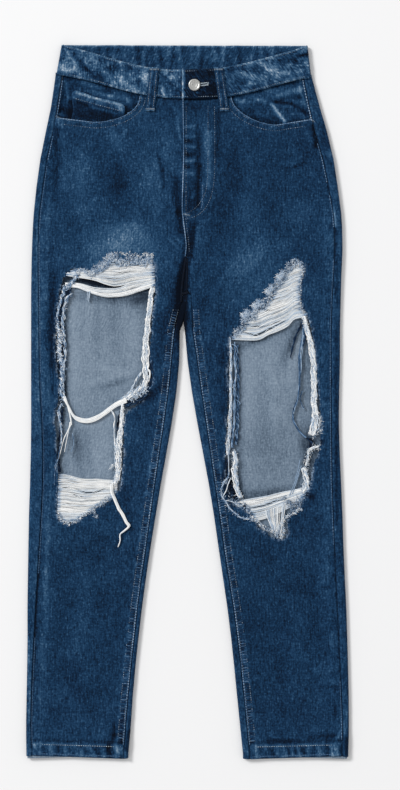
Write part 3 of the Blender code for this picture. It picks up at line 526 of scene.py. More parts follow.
INDIGO = [
    (0, srgb(2, 10, 24)), (0.16, srgb(6, 26, 48)), (0.32, srgb(17, 48, 78)), (0.46, srgb(34, 69, 102)),
    (0.60, srgb(62, 96, 127)), (0.78, srgb(112, 138, 162)), (1, srgb(190, 200, 210)),
]


def ramp(tree, value, stops):
    colours = node(tree, "ValToRGB", {"Fac": value})
    elements = colours.color_ramp.elements
    while len(elements) < len(stops):
        elements.new(1)
    for element, (position, colour) in zip(elements, stops):
        element.position = position
        element.color = colour
    return colours.outputs["Color"]


def new_finish(name):
    """A new material, with its node tree and its main shader."""
    finish = bpy.data.materials.new(name)
    finish.use_nodes = True
    return finish, finish.node_tree, finish.node_tree.nodes["Principled BSDF"]


def denim(name, stops, mottle, fleck, shade_name="tone"):
    """Washed twill: slubs along the warp, weft slubs, slanting scuffs, clouds and light flecks."""
    finish, tree, shader = new_finish(name)
    cloth = node(tree, "UVMap", {}, uv_map="cloth").outputs[0]
    tone = node(tree, "Attribute", {}, attribute_name=shade_name).outputs["Fac"]
    torn = node(tree, "Attribute", {}, attribute_name="torn").outputs["Fac"]
    slub = cloth_noise(tree, cloth, 2, 15, 3)
    weft = cloth_noise(tree, cloth, 8, 2, 2)
    slant = cloth_noise(tree, cloth, 2.6, 9, 3, math.radians(-32))
    grain = cloth_noise(tree, cloth, 2.5, 3.2, 3)
    cloud = cloth_noise(tree, cloth, 34, 52, 5)
    scuff = cloth_noise(tree, cloth, 9, 14, 3, math.radians(20))
    twill = node(tree, "Mapping", {"Vector": cloth, "Rotation": (0, 0, math.radians(27))}).outputs[0]
    ribs = {"Vector": twill, "Scale": 350, "Distortion": 0.6, "Detail": 1}
    rib = node(tree, "TexWave", ribs).outputs["Fac"]
    light = node(tree, "MapRange", {"Value": grain, "From Min": 0.56, "From Max": 0.74}).outputs[0]
    parts = [(slub, 0.48 * fleck), (weft, 0.28 * fleck), (slant, 0.44 * fleck), (grain, 0.62 * fleck),
             (cloud, 0.9 * mottle), (scuff, 0.42 * mottle), (rib, 0.05)]
    shade = add_up(tree, tone, parts)
    shade = node(tree, "Math", {0: light, 1: 0.12 * fleck, 2: shade}, operation="MULTIPLY_ADD").outputs[0]
    dyed = ramp(tree, shade, stops)
    bare = node(tree, "Math", {0: grain, 1: scuff}, operation="ADD").outputs[0]
    bare = node(tree, "MapRange", {"Value": bare, "From Min": 1, "From Max": 1.2}).outputs[0]
    bare = node(tree, "Math", {0: bare, 1: torn}, operation="MULTIPLY").outputs[0]
    mixed = node(tree, "Mix", {0: bare, 6: dyed, 7: srgb(150, 170, 192)}, data_type="RGBA").outputs[2]
    tree.links.new(mixed, shader.inputs["Base Color"])
    rough = add_up(tree, 0, [(slub, 0.4), (grain, 0.6), (slant, 0.4), (rib, 0.3)])
    nap = node(tree, "Bump", {"Height": rough, "Strength": 0.7, "Distance": 0.0007}).outputs[0]
    tree.links.new(nap, shader.inputs["Normal"])
    shader.inputs["Roughness"].default_value = 0.95
    shader.inputs["Specular IOR Level"].default_value = 0.08
    shader.inputs["Sheen Weight"].default_value = 0.02
    shader.inputs["Sheen Roughness"].default_value = 0.6
    return finish


DENIM_FACE = denim("washed_denim", INDIGO, 0.34, 0.85)
REVERSE = [
    (0, srgb(14, 22, 34)), (0.20, srgb(58, 72, 88)), (0.40, srgb(105, 122, 140)),
    (0.55, srgb(134, 150, 167)), (0.75, srgb(160, 174, 188)), (1, srgb(196, 204, 212)),
]
DENIM_BACK = denim("denim_reverse", REVERSE, 0.18, 0.52, "inner")

# Worn places and some darker patches: x, up, half width, half length, turn in degrees and how much lighter.
FRONT_FADES = [
    (-88, 724, 42, 30, 0, 0.24), (-136, 700, 22, 34, 0, 0.06), (-98, 800, 30, 42, 30, -0.07),
    (-140, 815, 22, 46, 0, 0.05), (84, 680, 30, 42, -20, 0.13), (40, 770, 32, 40, 0, -0.05),
    (32, 610, 24, 70, 0, -0.06), (-27, 605, 16, 66, 0, -0.13), (207, 700, 13, 150, 0, 0.06),
    (-217, 500, 12, 260, 0, 0.06), (-150, 560, 60, 200, 0, 0.03), (-60, 830, 60, 60, 0, 0.05),
    (-120, 200, 80, 200, 0, -0.03), (130, 200, 80, 220, 0, -0.05), (150, 840, 60, 90, 0, -0.04),
]


def soft_patches(table, x, up):
    total = np.zeros(x.shape)
    for mid_x, mid_up, wide, long, turn, light in table:
        right, high = turned(x - mid_x, up - mid_up, turn)
        total += light * np.exp(-(right / wide) ** 2 - (high / long) ** 2)
    return total


def hem_slant(leg, share, up):
    """Heights near the hem follow its slight slant; share runs from the outer to the inner edge."""
    outer = 5 if leg is RIGHT else 4
    inner = 0.5 if leg is RIGHT else 0
    return up + mix(outer, inner, share) * np.clip(1 - up / HEM_SLANT_END, 0, 1)


def seam_relief(distance, up, seed, wide=13, pull=0.10, ridge=0):
    """Height and tone along a seam: the edge rolls in, the turnings make a puckered ridge."""
    roll = -0.7 * bump(distance, 1)
    turning = ease(0.4, 2.2, distance) * (1 - ease(wide - 1.5, wide + 1.5, distance))
    pucker = wave(distance, up, wide, 3.9, seed) + 0.5 * wave(distance, up, 5, 9, seed + 1)
    height = roll + turning * (0.40 + 0.34 * pucker)
    tone = -0.12 * bump(distance, 1.1) + turning * (0.01 + pull * pucker)
    worn_line = 0.75 + 0.5 * wave(distance * 0, up, 1, 17, seed + 2)
    tone = tone + ridge * bump(distance - wide + 1, 2.6) * worn_line
    return height, tone


def front_panel(leg, opening, torn_line, marks):
    mesh, u, t = cloth_grid(FRONT_COLUMNS, FRONT_ROWS)
    share = u - 0.55 * np.sin(2 * np.pi * u) / (2 * np.pi)
    nominal = t * PANEL_TOP
    west, east = ("outseam", "inner") if leg is RIGHT else ("inner", "outseam")
    x = mix(across(leg, west, nominal), across(leg, east, nominal), share)
    outer_share = share if leg is RIGHT else 1 - share
    up = hem_slant(leg, outer_share, nominal)
    high = (nominal - SEAT_END) / (PANEL_TOP - SEAT_END)
    up = np.where(nominal > SEAT_END, mix(SEAT_END, band_low(x) + TUCK, high), up)
    pocket_line = np.array(opening_cut(opening))
    for line in (torn_line, pocket_line):
        x, up = snapped(x, up, line, RAGGED)
    rip_gap = edge_gap(x, up, torn_line)
    pocket_gap = edge_gap(x, up, pocket_line)
    to_out = np.abs(x - across(leg, "outseam", nominal))
    to_in = np.abs(x - across(leg, "inner", nominal))
    z = level(leg, x, up)
    tone = DENIM_TONE + soft_patches(FRONT_FADES, x, up)
    out_height, out_tone = seam_relief(to_out, up, 21, pull=0.06, ridge=0.11 if leg is RIGHT else 0.03)
    in_height, in_tone = seam_relief(to_in, up, 31, wide=11, pull=0.15, ridge=0.07)
    legs_only = 1 - ease(CROTCH - 20, CROTCH + 10, up)
    in_height = in_height * legs_only
    in_tone = in_tone * legs_only
    z = z + out_height + in_height
    tone = tone + out_tone + in_tone
    # The marks set height and tone. The tone also follows the folds, as painted highlight on their ridges and
    # painted shade in their hollows, and takes painted shade in the crotch hollow.
    marks_here = wear_and_shade(marks, x, up)
    z = z + 1.6 * marks_here
    tone = tone + 0.06 * relief(FRONT_FOLDS, x, up) + marks_here - CROTCH_PAINTED_SHADE * crotch_shade(x, up)
    # hem: a stitched groove with the cloth roped below it
    below = 1 - ease(HEM_HEIGHT - 1, HEM_HEIGHT + 1, nominal)
    rope = wave(x + 0.8 * up, up, 5, 14, 41)
    z = z + below * 0.5 * rope - 0.5 * bump(nominal - HEM_HEIGHT, 1.2) - 0.7 * bump(nominal, 1.2)
    tone = tone + below * (0.03 + 0.10 * rope) + 0.16 * bump(nominal - HEM_HEIGHT - 2, 1.6)
    tone = tone - 0.10 * bump(nominal - HEM_HEIGHT - 6, 2.5)
    tone += 0.20 * bump(nominal - 3, 2) * (0.6 + 0.6 * wave(x, up, 5, 3, 43))
    # pocket opening: a turned edge with two rows of stitches
    edge = 1 - ease(6.5, 9, pocket_gap)
    z = z + edge * (0.35 + 0.22 * wave(x, up, 5, 5, 51)) - 0.7 * bump(pocket_gap, 0.9)
    z = z - 0.3 * bump(pocket_gap - 2.2, 0.7) - 0.3 * bump(pocket_gap - 7.8, 0.8)
    tone = tone + 0.30 * bump(pocket_gap - 0.3, 1) + edge * 0.08 * wave(x, up, 4, 4, 52)
    # torn edge: worn pale and curling a little
    fray = bump(rip_gap, 6)
    z = z + fray * (0.3 + 0.6 * wave(x, up, 9, 9, 61))
    tone = tone + 0.05 * bump(rip_gap, 5)
    # under the waistband: pressed down, with painted shade along the band's lower edge
    tuck = ease(-4.5, 0.5, up - band_low(x)) * (nominal > SEAT_END)
    z = mix(z, UNDER_BAND, tuck)
    tone = tone - 0.12 * bump(up - band_low(x), 2)
    shape_cloth(mesh, x, up, z, tone, torn=0.8 * bump(rip_gap, 2))
    trim(mesh, x, up, (torn_line, pocket_line))
    return sew("denim_front_" + leg.name, mesh, DENIM, (DENIM_FACE, DENIM_BACK), "denim", "front_" + leg.name)


RIGHT_TORN, LEFT_TORN = (ragged(rip, RAGGED, 11) for rip in (RIGHT_RIP, LEFT_RIP))
front_right = front_panel(RIGHT, RIGHT_OPENING, RIGHT_TORN, RIGHT_MARKS)
front_left = front_panel(LEFT, LEFT_OPENING, LEFT_TORN, LEFT_MARKS)


# ---------------- back panels and yokes
# The back of each leg is one long piece that turns round both sides and meets the front at
# the outseam and the inseam. A yoke is sewn above it. The reverse side shows in the rips.
SEAT_FLOOR = 1.5
YOKE_CENTRE = 884
YOKE_SIDE = 914
YOKE_SIDE_X = 168
RISE_X = -1.65              # the seat's seam
RISE_GAP = 0.15
RISE_COLUMNS_WIDE = 30
CROTCH_TOP = CROTCH + 12
LAP_COLUMNS = 9
ARC_COLUMNS = 8
FLOOR_COLUMNS = 44
BACK_FOLDS = [
    (-150, 470, 10, 90, 16, 0.7), (-110, 545, 168, 70, 12, 0.5), (-95, 484, 8, 60, 8, 0.9),
    (120, 500, 96, 150, 14, 0.6), (150, 590, 62, 60, 9, 1), (95, 420, 4, 70, 10, 0.5),
    (-60, 760, 20, 120, 16, 0.8), (80, 750, 165, 130, 16, 0.8), (-30, 690, 60, 90, 12, 0.9),
    (35, 690, 118, 90, 12, 0.9), (-150, 300, 12, 120, 14, 0.6), (150, 290, 170, 120, 14, 0.6),
    (-140, 120, 168, 100, 12, 0.5), (140, 110, 10, 110, 12, 0.5),
]

# The reverse has rubbed lighter where it faced the wearer; its darker places are painted shade under the torn
# edges, in the slits and in the crotch hollow.
REVERSE_WEAR_AND_SHADE = [
    (-4, 652, 14, 9, 0, -0.7), (-62, 655, 16, 26, -25, -0.30), (-128, 668, 36, 7, -8, -0.62),
    (-95, 663, 18, 4, 3, -0.40), (-105, 645, 50, 7, -3, -0.20), (-160, 590, 9, 100, 0, 0.07),
    (-104, 610, 8, 50, 0, -0.06), (-78, 600, 10, 60, 0, 0.03), (-100, 527, 26, 4, 16, -0.16),
    (-110, 535, 30, 5, 16, 0.06), (-155, 440, 9, 40, 8, -0.16), (-120, 430, 16, 40, 0, 0.05),
    (-178, 620, 8, 80, 0, -0.30), (-176, 530, 6, 50, 0, -0.30), (72, 500, 5, 110, 0, -0.14),
    (85, 480, 10, 120, 0, 0.05), (146, 586, 5, 28, -24, -0.34), (153, 575, 6, 30, -20, 0.10),
    (100, 588, 44, 6, 20, -0.22), (163, 560, 6, 60, 0, -0.10), (110, 372, 50, 7, 8, -0.20),
    (60, 375, 14, 24, 0, -0.45), (-127, 610, 5, 70, 0, -0.05), (-140, 615, 6, 60, 0, 0.04),
    (-139, 430, 3, 40, 4, -0.07), (108, 430, 50, 70, 0, -0.04), (98, 430, 24, 50, 0, -0.03),
    (168, 440, 12, 26, 0, -0.28), (120, 430, 30, 60, 0, -0.03),
]


def back_floor(up):
    """Underside of the back layer: on the surface at the legs, on its pockets at the seat."""
    return SEAT_FLOOR * ease(SEAT_START, SEAT_END, up)


def edge_top(up):
    """Top of the cloth at the side folds."""
    seat = mix(LEG_TOP, SEAT_TOP, ease(SEAT_START, SEAT_END, up))
    return mix(HEM_TOP, seat, ease(HEM_HEIGHT + 5, 46, up))


def half_turn(x, middle, radius, side, start):
    """Points round a side fold, from its top when start is 1 and from its foot when it is -1."""
    angles = [math.pi * k / ARC_COLUMNS for k in range(ARC_COLUMNS + 1)]
    return [(x + side * radius * math.sin(angle), middle + start * radius * math.cos(angle))
            for angle in angles]


def back_columns(leg, nominal):
    """x and z round one leg at a height, from its east seam under the leg to its west seam."""
    base = back_floor(nominal)
    top = edge_top(nominal)
    radius = (top - base) / 2
    outer = (across(leg, "fold_out", nominal), across(leg, "outseam", nominal))
    inner = (across(leg, "fold_in", nominal), across(leg, "inner", nominal))
    east, west = (inner, outer) if leg is RIGHT else (outer, inner)
    joined = nominal > CROTCH_TOP       # here the two backs meet at the seat's seam
    count = LAP_COLUMNS + ARC_COLUMNS
    if joined and leg is RIGHT:
        turn = RISE_X - RISE_COLUMNS_WIDE
        columns = [(RISE_X - RISE_GAP - RISE_COLUMNS_WIDE * k / count, base) for k in range(count + 1)]
    else:
        turn = east[0] - radius
        columns = [(mix(east[1], turn, k / LAP_COLUMNS), top) for k in range(LAP_COLUMNS)]
        columns += half_turn(turn, base + radius, radius, 1, 1)
    far = RISE_X + RISE_COLUMNS_WIDE if joined and leg is LEFT else west[0] + radius
    columns += [(mix(turn, far, k / FLOOR_COLUMNS), base) for k in range(1, FLOOR_COLUMNS)]
    if joined and leg is LEFT:
        columns += [(mix(far, RISE_X + RISE_GAP, k / count), base) for k in range(count + 1)]
    else:
        columns += half_turn(far, base + radius, radius, -1, -1)
        columns += [(mix(far, west[1], k / LAP_COLUMNS), top) for k in range(1, LAP_COLUMNS + 1)]
    return columns


def yoke_seam(x):
    return mix(YOKE_CENTRE, YOKE_SIDE, np.clip(np.abs(x) / YOKE_SIDE_X, 0, 1))


def unrolled(rows):
    """The columns of rows of points, and how far round its row each point lies."""
    rows = np.array(rows)
    step = np.hypot(np.diff(rows[:, :, 0], axis=1), np.diff(rows[:, :, -1], axis=1))
    around = np.concatenate([np.zeros((len(rows), 1)), np.cumsum(step, axis=1)], axis=1)
    return (*rows.reshape(-1, rows.shape[2]).T, around.ravel())


# Rubbed pale lines on the laps that turn onto the front, and painted shade in their grooves and on their far
# sides: x, up of both ends, width, and how much lighter or darker.
LAP_MARKS = [
    (-210, 745, -210, 600, 2.2, 0.13), (-210, 600, -209, 500, 2.2, 0.10), (-187, 905, -192, 868, 2.4, 0.10),
    (-223, 170, -222, 55, 2, 0.16), (222, 66, 220, 36, 2.2, 0.15), (196, 850, 204, 838, 4, 0.12),
    (203, 822, 208, 812, 3, -0.13), (203, 770, 207, 747, 2.4, 0.26), (206, 742, 208, 640, 3, -0.16),
    (185, 885, 196, 862, 6, -0.07), (174, 938, 182, 918, 4, 0.05), (6, 560, 13, 500, 5, 0.10),
    (16, 480, 26, 420, 4, 0.06), (-30, 470, -45, 400, 4, 0.05), (70, 60, 76, 18, 5, 0.08),
    (222, 30, 222, 8, 2.6, -0.22), (-82, 40, -86, 14, 4, -0.14), (207, 600, 208, 330, 2.5, -0.16),
]


def wrap_relief(x, up, z, base, top, seam_x, seed):
    """Small uneven heights of the part that turns onto the front, and the tone at its seam."""
    on_top = ease(0.35, 0.9, (z - base) / (top - base))
    distance = np.abs(x - seam_x)
    height, tone = seam_relief(distance, up, seed, wide=9, pull=0.05)
    line = 0.10 * bump(distance - 2.4, 1.3) * (0.65 + 0.35 * wave(x, up, 9, 7, seed + 5))
    return on_top * height, on_top * (tone + line)


def back_piece(leg, name, node_name, low_row, high_row, count):
    columns = 2 * (LAP_COLUMNS + ARC_COLUMNS) + FLOOR_COLUMNS
    mesh, u, t = cloth_grid(columns, count)
    heights = mix(low_row, high_row, np.arange(count + 1) / count)
    x, z, around = unrolled([back_columns(leg, height) for height in heights])
    nominal = np.repeat(heights, columns + 1)
    share = u if leg is LEFT else 1 - u
    up = hem_slant(leg, share, nominal)
    on_front = np.abs(z) > (SEAT_FLOOR + SEAT_TOP) / 2
    if low_row < SEAT_END:
        high = (nominal - SEAT_END) / (YOKE_SIDE - SEAT_END)
        up = np.where(nominal > SEAT_END, mix(SEAT_END, yoke_seam(x) - RISE_GAP, high), up)
    else:
        back_low = 958 - 3 * (x + 184.5) / 357
        limit = np.where(on_front, band_low(x), back_low) + TUCK
        up = mix(yoke_seam(x) + RISE_GAP, limit, (nominal - low_row) / (high_row - low_row))
    base = back_floor(nominal)
    top = edge_top(nominal)
    seam_x = across(leg, "outseam", nominal)
    height, tone_at_seam = wrap_relief(x, up, z, base, top, seam_x, 71)
    tone = DENIM_TONE + soft_patches(FRONT_FADES, x, up) + tone_at_seam
    z = z + height
    inner = across(leg, "inner", nominal)
    height, tone_at_seam = wrap_relief(x, up, z, base, top, inner, 81)
    legs_only = nominal < CROTCH_TOP
    z = z + height * legs_only
    tone = tone + tone_at_seam * legs_only
    valley = crotch_valley(x, up) * ease(base + 1, base + 3.5, z)
    z = np.maximum(z - valley, base)
    # Marks of the laps, and painted shade in the crotch hollow as on the front.
    tone = tone + wear_and_shade(LAP_MARKS, x, up) - CROTCH_PAINTED_SHADE * crotch_shade(x, up)
    down = 1 - ease(base + 0.3, base + 1.6, z)
    rise = np.maximum(relief(BACK_FOLDS, x, up), 0) + 0.25 * np.maximum(wave(x, up, 30, 45, 91), 0)
    z = z + down * rise
    rope = wave(x + 0.8 * up, up, 5, 14, 42)
    below = (1 - ease(HEM_HEIGHT - 1, HEM_HEIGHT + 1, nominal)) * (1 - down)
    tone = tone + below * (0.05 + 0.10 * rope)
    z = np.clip(z + below * 0.3 * rope, 0, None)
    z = np.where(on_front & (up > band_low(x) - 4), np.minimum(z, UNDER_BAND + 0.2), z)
    # The reverse's tone: the patches above, painted highlight and shade following the folds, and painted
    # shade just inside the rip, where the front layer's torn edge overhangs it.
    inner_shade = 0.465 + soft_patches(REVERSE_WEAR_AND_SHADE, x, up) + 0.08 * relief(BACK_FOLDS, x, up)
    rip = np.array(RIGHT_RIP if leg is RIGHT else LEFT_RIP, float)
    inner_shade = inner_shade - 0.10 * bump(side_of(x, up, rip)[0] + 4, 7)
    shape_cloth(mesh, x, up, z, tone, inner=inner_shade, around=around)
    piece = sew(name, mesh, DENIM, (DENIM_FACE, DENIM_BACK), "denim", node_name)
    return piece


for side in (RIGHT, LEFT):
    back_piece(side, "denim_back_" + side.name, "back_" + side.name, 0, YOKE_SIDE, 300)
    back_piece(side, "denim_yoke_" + side.name, "yoke_" + side.name, YOKE_SIDE, PANEL_TOP, 24)


# ---------------- turned-up hems
# Each leg ends in a ply turned up 17 mm inside it, which shows only as a second edge.
HEM_COLUMNS = 22


def hem_ply(leg):
    step = DENIM + SEAM_GAP
    mesh, u, t = cloth_grid(2 * (HEM_COLUMNS + ARC_COLUMNS), 8)
    heights = t * HEM_HEIGHT
    base = back_floor(0) + step
    top = HEM_TOP - step
    radius = (top - base) / 2
    west, east = ("fold_out", "fold_in") if leg is RIGHT else ("fold_in", "fold_out")
    low = across(leg, west, 0) + radius + step
    high = across(leg, east, 0) - radius - step
    ring = [(mix(high, low, k / HEM_COLUMNS), base) for k in range(HEM_COLUMNS)]
    ring += half_turn(low, base + radius, radius, -1, -1)[:-1]
    ring += [(mix(low, high, k / HEM_COLUMNS), top) for k in range(HEM_COLUMNS)]
    ring += half_turn(high, base + radius, radius, 1, 1)
    column = np.rint(u * (len(ring) - 1)).astype(int)
    x, z = np.array(ring)[column].T
    share = (x - low) / (high - low)
    up = hem_slant(leg, share if leg is LEFT else 1 - share, heights + 0.6)
    shape_cloth(mesh, x, up, z, 0.36, torn=bump(heights - HEM_HEIGHT, 2))
    bm = bmesh.new()
    bm.from_mesh(mesh)
    bmesh.ops.remove_doubles(bm, verts=bm.verts, dist=0.00001)
    bm.to_mesh(mesh)
    bm.free()
    ply = sew("hem_ply_" + leg.name, mesh, DENIM, (DENIM_BACK, DENIM_FACE), "denim", "hem_" + leg.name)


hem_ply(RIGHT)
hem_ply(LEFT)


# ---------------- front pockets
# Each opening shows a facing of the same denim on the pocket bag. The wearer's right one
# carries the small coin pocket, whose turned top edge has rubbed pale.
FACING_DROP = 2.8
COIN_DROP = 1.5
# Rubbed pale lines on the facings, and painted shade beside the coin pocket and in the creases: x, up of both
# ends, width, and how much lighter or darker.
FACING_MARKS = [
    (-173, 950, -168, 926, 2.6, 0.24), (-140, 936, -110, 929, 2.6, 0.24), (-110, 929, -84, 924, 3.2, 0.22),
    (-84, 924, -80, 917, 2.6, 0.18), (-180, 911, -166, 904, 6, -0.26), (-164, 922, -163, 898, 3.5, -0.28),
    (-88, 912, -84, 904, 5, -0.28), (-130, 948, -100, 941, 3, -0.16), (70, 921, 108, 923, 4, 0.17),
    (117, 918, 136, 893, 1.9, 0.36), (128, 930, 158, 940, 4, 0.17), (155, 940, 166, 915, 2.4, 0.20),
    (122, 921, 145, 918, 1.9, -0.32), (145, 918, 168, 904, 2.2, -0.26), (62, 930, 150, 951, 4, -0.22),
    (85, 897, 125, 893, 5, -0.16), (118, 912, 126, 902, 4, 0.10),
]
# Rubbed pale lines on the coin pocket's hem, and painted shade under it: x, up of both ends, width, and how
# much lighter or darker.
COIN_MARKS = [
    (-156, 933, -128, 925, 1.8, 0.34), (-128, 925, -92, 916, 1.8, 0.30), (-138, 914, -100, 904, 1.8, 0.22),
    (-96, 914, -93, 905, 3, 0.16), (-156, 920, -138, 914, 2, -0.20), (-150, 904, -108, 897, 8, -0.12),
]
RIGHT_FACING = [(-56, 960), (-58, 905), (-80, 885), (-110, 876), (-220, 880), (-225, 920), (-215, 965),
                (-130, 975)]
LEFT_FACING = [(50, 960), (52, 905), (74, 884), (104, 873), (215, 880), (220, 920), (205, 965), (130, 975)]
COIN_POCKET = [(-160, 935.5), (-126, 926), (-91, 917), (-89, 900), (-88, 880), (-126, 880), (-163, 882),
               (-161, 908)]
FACING_FOLDS = [
    (-100, 915, 160, 70, 6, 0.9), (-122, 940, 158, 90, 8, 0.8), (-180, 930, 100, 60, 7, 0.8),
    (130, 900, 125, 55, 6, 1.3), (150, 925, 8, 90, 7, -1.1), (100, 925, 160, 60, 8, 0.7),
    (172, 915, 100, 50, 8, 0.7),
]


def patch(name, line, pitch, surface, dressing, wall, slot, node_name, under=False):
    """A flat-cut piece inside a closed outline, laid on a surface; it faces down if under."""
    low = line.min(axis=0) - pitch
    size = line.max(axis=0) + pitch - low
    mesh, u, t = cloth_grid(int(size[0] / pitch), int(size[1] / pitch))
    x = low[0] + size[0] * (1 - u if under else u)
    x, up = snapped(x, low[1] + size[1] * t, line, 0.62 * pitch)
    raised, tone = dressing(x, up, edge_gap(x, up, line))
    shape_cloth(mesh, x, up, surface(x, up) + raised, tone)
    trim(mesh, x, up, [line], keep=True)
    piece = sew(name, mesh, wall, (DENIM_FACE, DENIM_BACK), slot, node_name)


def tucked(leg, drop, x, up):
    """The front layer's surface, lowered, and pressed down where it goes in under the waistband."""
    z = level(leg, x, up) - drop
    return mix(z, np.minimum(z, UNDER_BAND - 1.1), ease(-4.5, 0.5, up - band_low(x)))


def facing_dress(x, up, gap):
    height = np.minimum(relief(FACING_FOLDS, x, up) + 0.25 * wave(x, up, 14, 9, 101), 1.1)
    # The tone follows the folds, as painted highlight on their ridges and painted shade between them.
    tone = np.where(x > 0, 0.32, 0.25) + 0.12 * height + 0.09 * wave(x, up, 11, 7, 102)
    tone = tone + 0.12 * bump(wave(x + 0.4 * up, up, 12, 9, 153), 0.15) + wear_and_shade(FACING_MARKS, x, up)
    # Painted shade on the facing just inside each opening, where the panel's edge overhangs it.
    for opening in (RIGHT_OPENING, LEFT_OPENING):
        inside = side_of(x, up, np.array(opening_cut(opening)))[0]
        tone = tone - 0.16 * bump(inside, 3)
    return height * ease(0, 6, gap), tone


def coin_dress(x, up, gap):
    top = np.interp(x, [-160, -126, -91], [935.5, 926, 917]) - up
    hem = 1 - ease(9.5, 12.5, top)
    height = hem * (0.35 + 0.2 * wave(x, up, 4.5, 4, 111)) - 0.4 * bump(top - 11.5, 0.9)
    tone = 0.19 + hem * (0.19 + 0.14 * wave(x, up, 4, 3.5, 112)) + 0.08 * bump(gap, 1)
    return height - 0.5 * bump(gap, 0.8), tone + wear_and_shade(COIN_MARKS, x, up)


for side, line in ((RIGHT, RIGHT_FACING), (LEFT, LEFT_FACING)):
    shape = smooth_line(line, 4, closed=True)[:, :2]
    seam = across(side, "outseam", shape[:, 1])
    inner_of = np.maximum if side is RIGHT else np.minimum
    shape[:, 0] = inner_of(shape[:, 0], seam - 0.5 * side.sign)
    shape[:, 1] = np.minimum(shape[:, 1], band_low(shape[:, 0]) + TUCK)
    patch("denim_facing_" + side.name, shape, 2, lambda x, up: tucked(side, FACING_DROP, x, up),
          facing_dress, 1, "pocket_denim", "pocket_facing_" + side.name)
coin_line = smooth_line(COIN_POCKET, 4, closed=True)[:, :2]
patch("denim_coin_pocket", coin_line, 1.3, lambda x, up: tucked(RIGHT, COIN_DROP, x, up), coin_dress,
      1, "pocket_denim", "coin_pocket")


# ---------------- waistband
# A straight band folded from one strip, 42 mm deep, acid-washed unevenly. It runs from the
# underlap at the fly, round the back, to the tab with the buttonhole.
BAND_DEPTH = 42
BAND_WALL = 2.4
UNDERLAP_X = 22
TAB_FLAT_X = 25
TAB_RAMP_X = 37
FLY_EDGE_X = -8.4
BAND_RIGHT = ((-184.5, 958), (-177, 1000))
BAND_LEFT = ((172.5, 955), (167.5, 999))
BAND_COLUMNS = 120
BAND_ROWS = 24
BAND_FACE = denim("band_denim", INDIGO, 0.55, 1.25)
BAND_INSIDE = denim("band_reverse", INDIGO, 0.45, 1)
BAND_FOLDS = [
    (-150, 968, 140, 60, 12, -0.9), (-140, 975, 20, 60, 10, 0.5), (-100, 958, 60, 40, 10, 0.4),
    (110, 960, 28, 70, 8, 0.6), (150, 975, 150, 40, 10, -0.5),
]
# Rubbed pale patches and painted shade in the band's creases: x, up of both ends, width, and how much lighter
# or darker.
BAND_MARKS = [
    (-166, 988, -152, 981, 4, 0.15), (-176, 970, -166, 963, 5, 0.13), (-138, 986, -128, 970, 3.5, 0.17),
    (-125, 975, -114, 966, 3, 0.12), (-96, 956, -76, 936, 5, 0.20), (-88, 962, -76, 960, 2.6, 0.12),
    (-66, 965, -62, 950, 3, 0.13), (-36, 941, -33, 931, 3, 0.28), (-24, 953, -18, 960, 2.6, 0.14),
    (-105, 945, -96, 950, 3, 0.11), (-160, 988, -140, 964, 3.5, -0.28), (-150, 965, -122, 955, 4, -0.16),
    (-112, 966, -100, 971, 4, -0.14), (-70, 940, -68, 950, 3, -0.12), (-44, 958, -30, 955, 3, -0.12),
    (-14, 955, -14, 935, 2.6, -0.12), (84, 958, 108, 953, 4, 0.20), (102, 976, 110, 965, 1.8, 0.26),
    (110, 965, 124, 962, 1.8, 0.22), (128, 958, 168, 966, 4, 0.16), (84, 942, 90, 945, 2.6, 0.18),
    (114, 972, 116, 980, 2, 0.15), (158, 990, 166, 994, 3, 0.13), (124, 980, 150, 976, 4, -0.18),
    (153, 983, 168, 987, 2.2, -0.36), (60, 960, 72, 950, 7, -0.12), (96, 940, 100, 946, 2.6, -0.13),
]
# Where the folds inside the back of the band lie; they are painted only.
BACK_BAND_PAINTED_FOLDS = (-118, -104, -76, -62, -44, -27, -11, 14, 36, 49, 66, 90, 103, 118)


def band_top(x):
    return np.interp(x, BAND_XS, BAND_HIGH)


def band_lift(x):
    """How far the tab's end lies above the band that it laps over."""
    return (BAND_WALL + SEAM_GAP) * (1 - ease(TAB_FLAT_X, TAB_RAMP_X, x))


def band_path(t):
    """Points round the band at one share of its depth, from the underlap to the tab's end."""
    radius = (BAND_TOP - SEAT_FLOOR) / 2
    middle = SEAT_FLOOR + radius
    right_x, right_up = (mix(a, b, t) for a, b in zip(*BAND_RIGHT))
    left_x, left_up = (mix(a, b, t) for a, b in zip(*BAND_LEFT))
    right_x += radius
    left_x -= radius
    shares = np.arange(BAND_COLUMNS + 1) / BAND_COLUMNS

    def front(x, lift):
        return x, mix(band_low(x), band_top(x), t), BAND_TOP + lift

    path = [front(x, 0) for x in mix(UNDERLAP_X, right_x, shares[:-1])]
    path += [(x, right_up, z) for x, z in half_turn(right_x, middle, radius, -1, 1)[:-1]]
    path += [(mix(right_x, left_x, k), mix(right_up, left_up, k), SEAT_FLOOR) for k in shares[:-1]]
    path += [(x, left_up, z) for x, z in half_turn(left_x, middle, radius, 1, -1)[:-1]]
    return path + [front(x, band_lift(x)) for x in mix(left_x, FLY_EDGE_X, shares)]


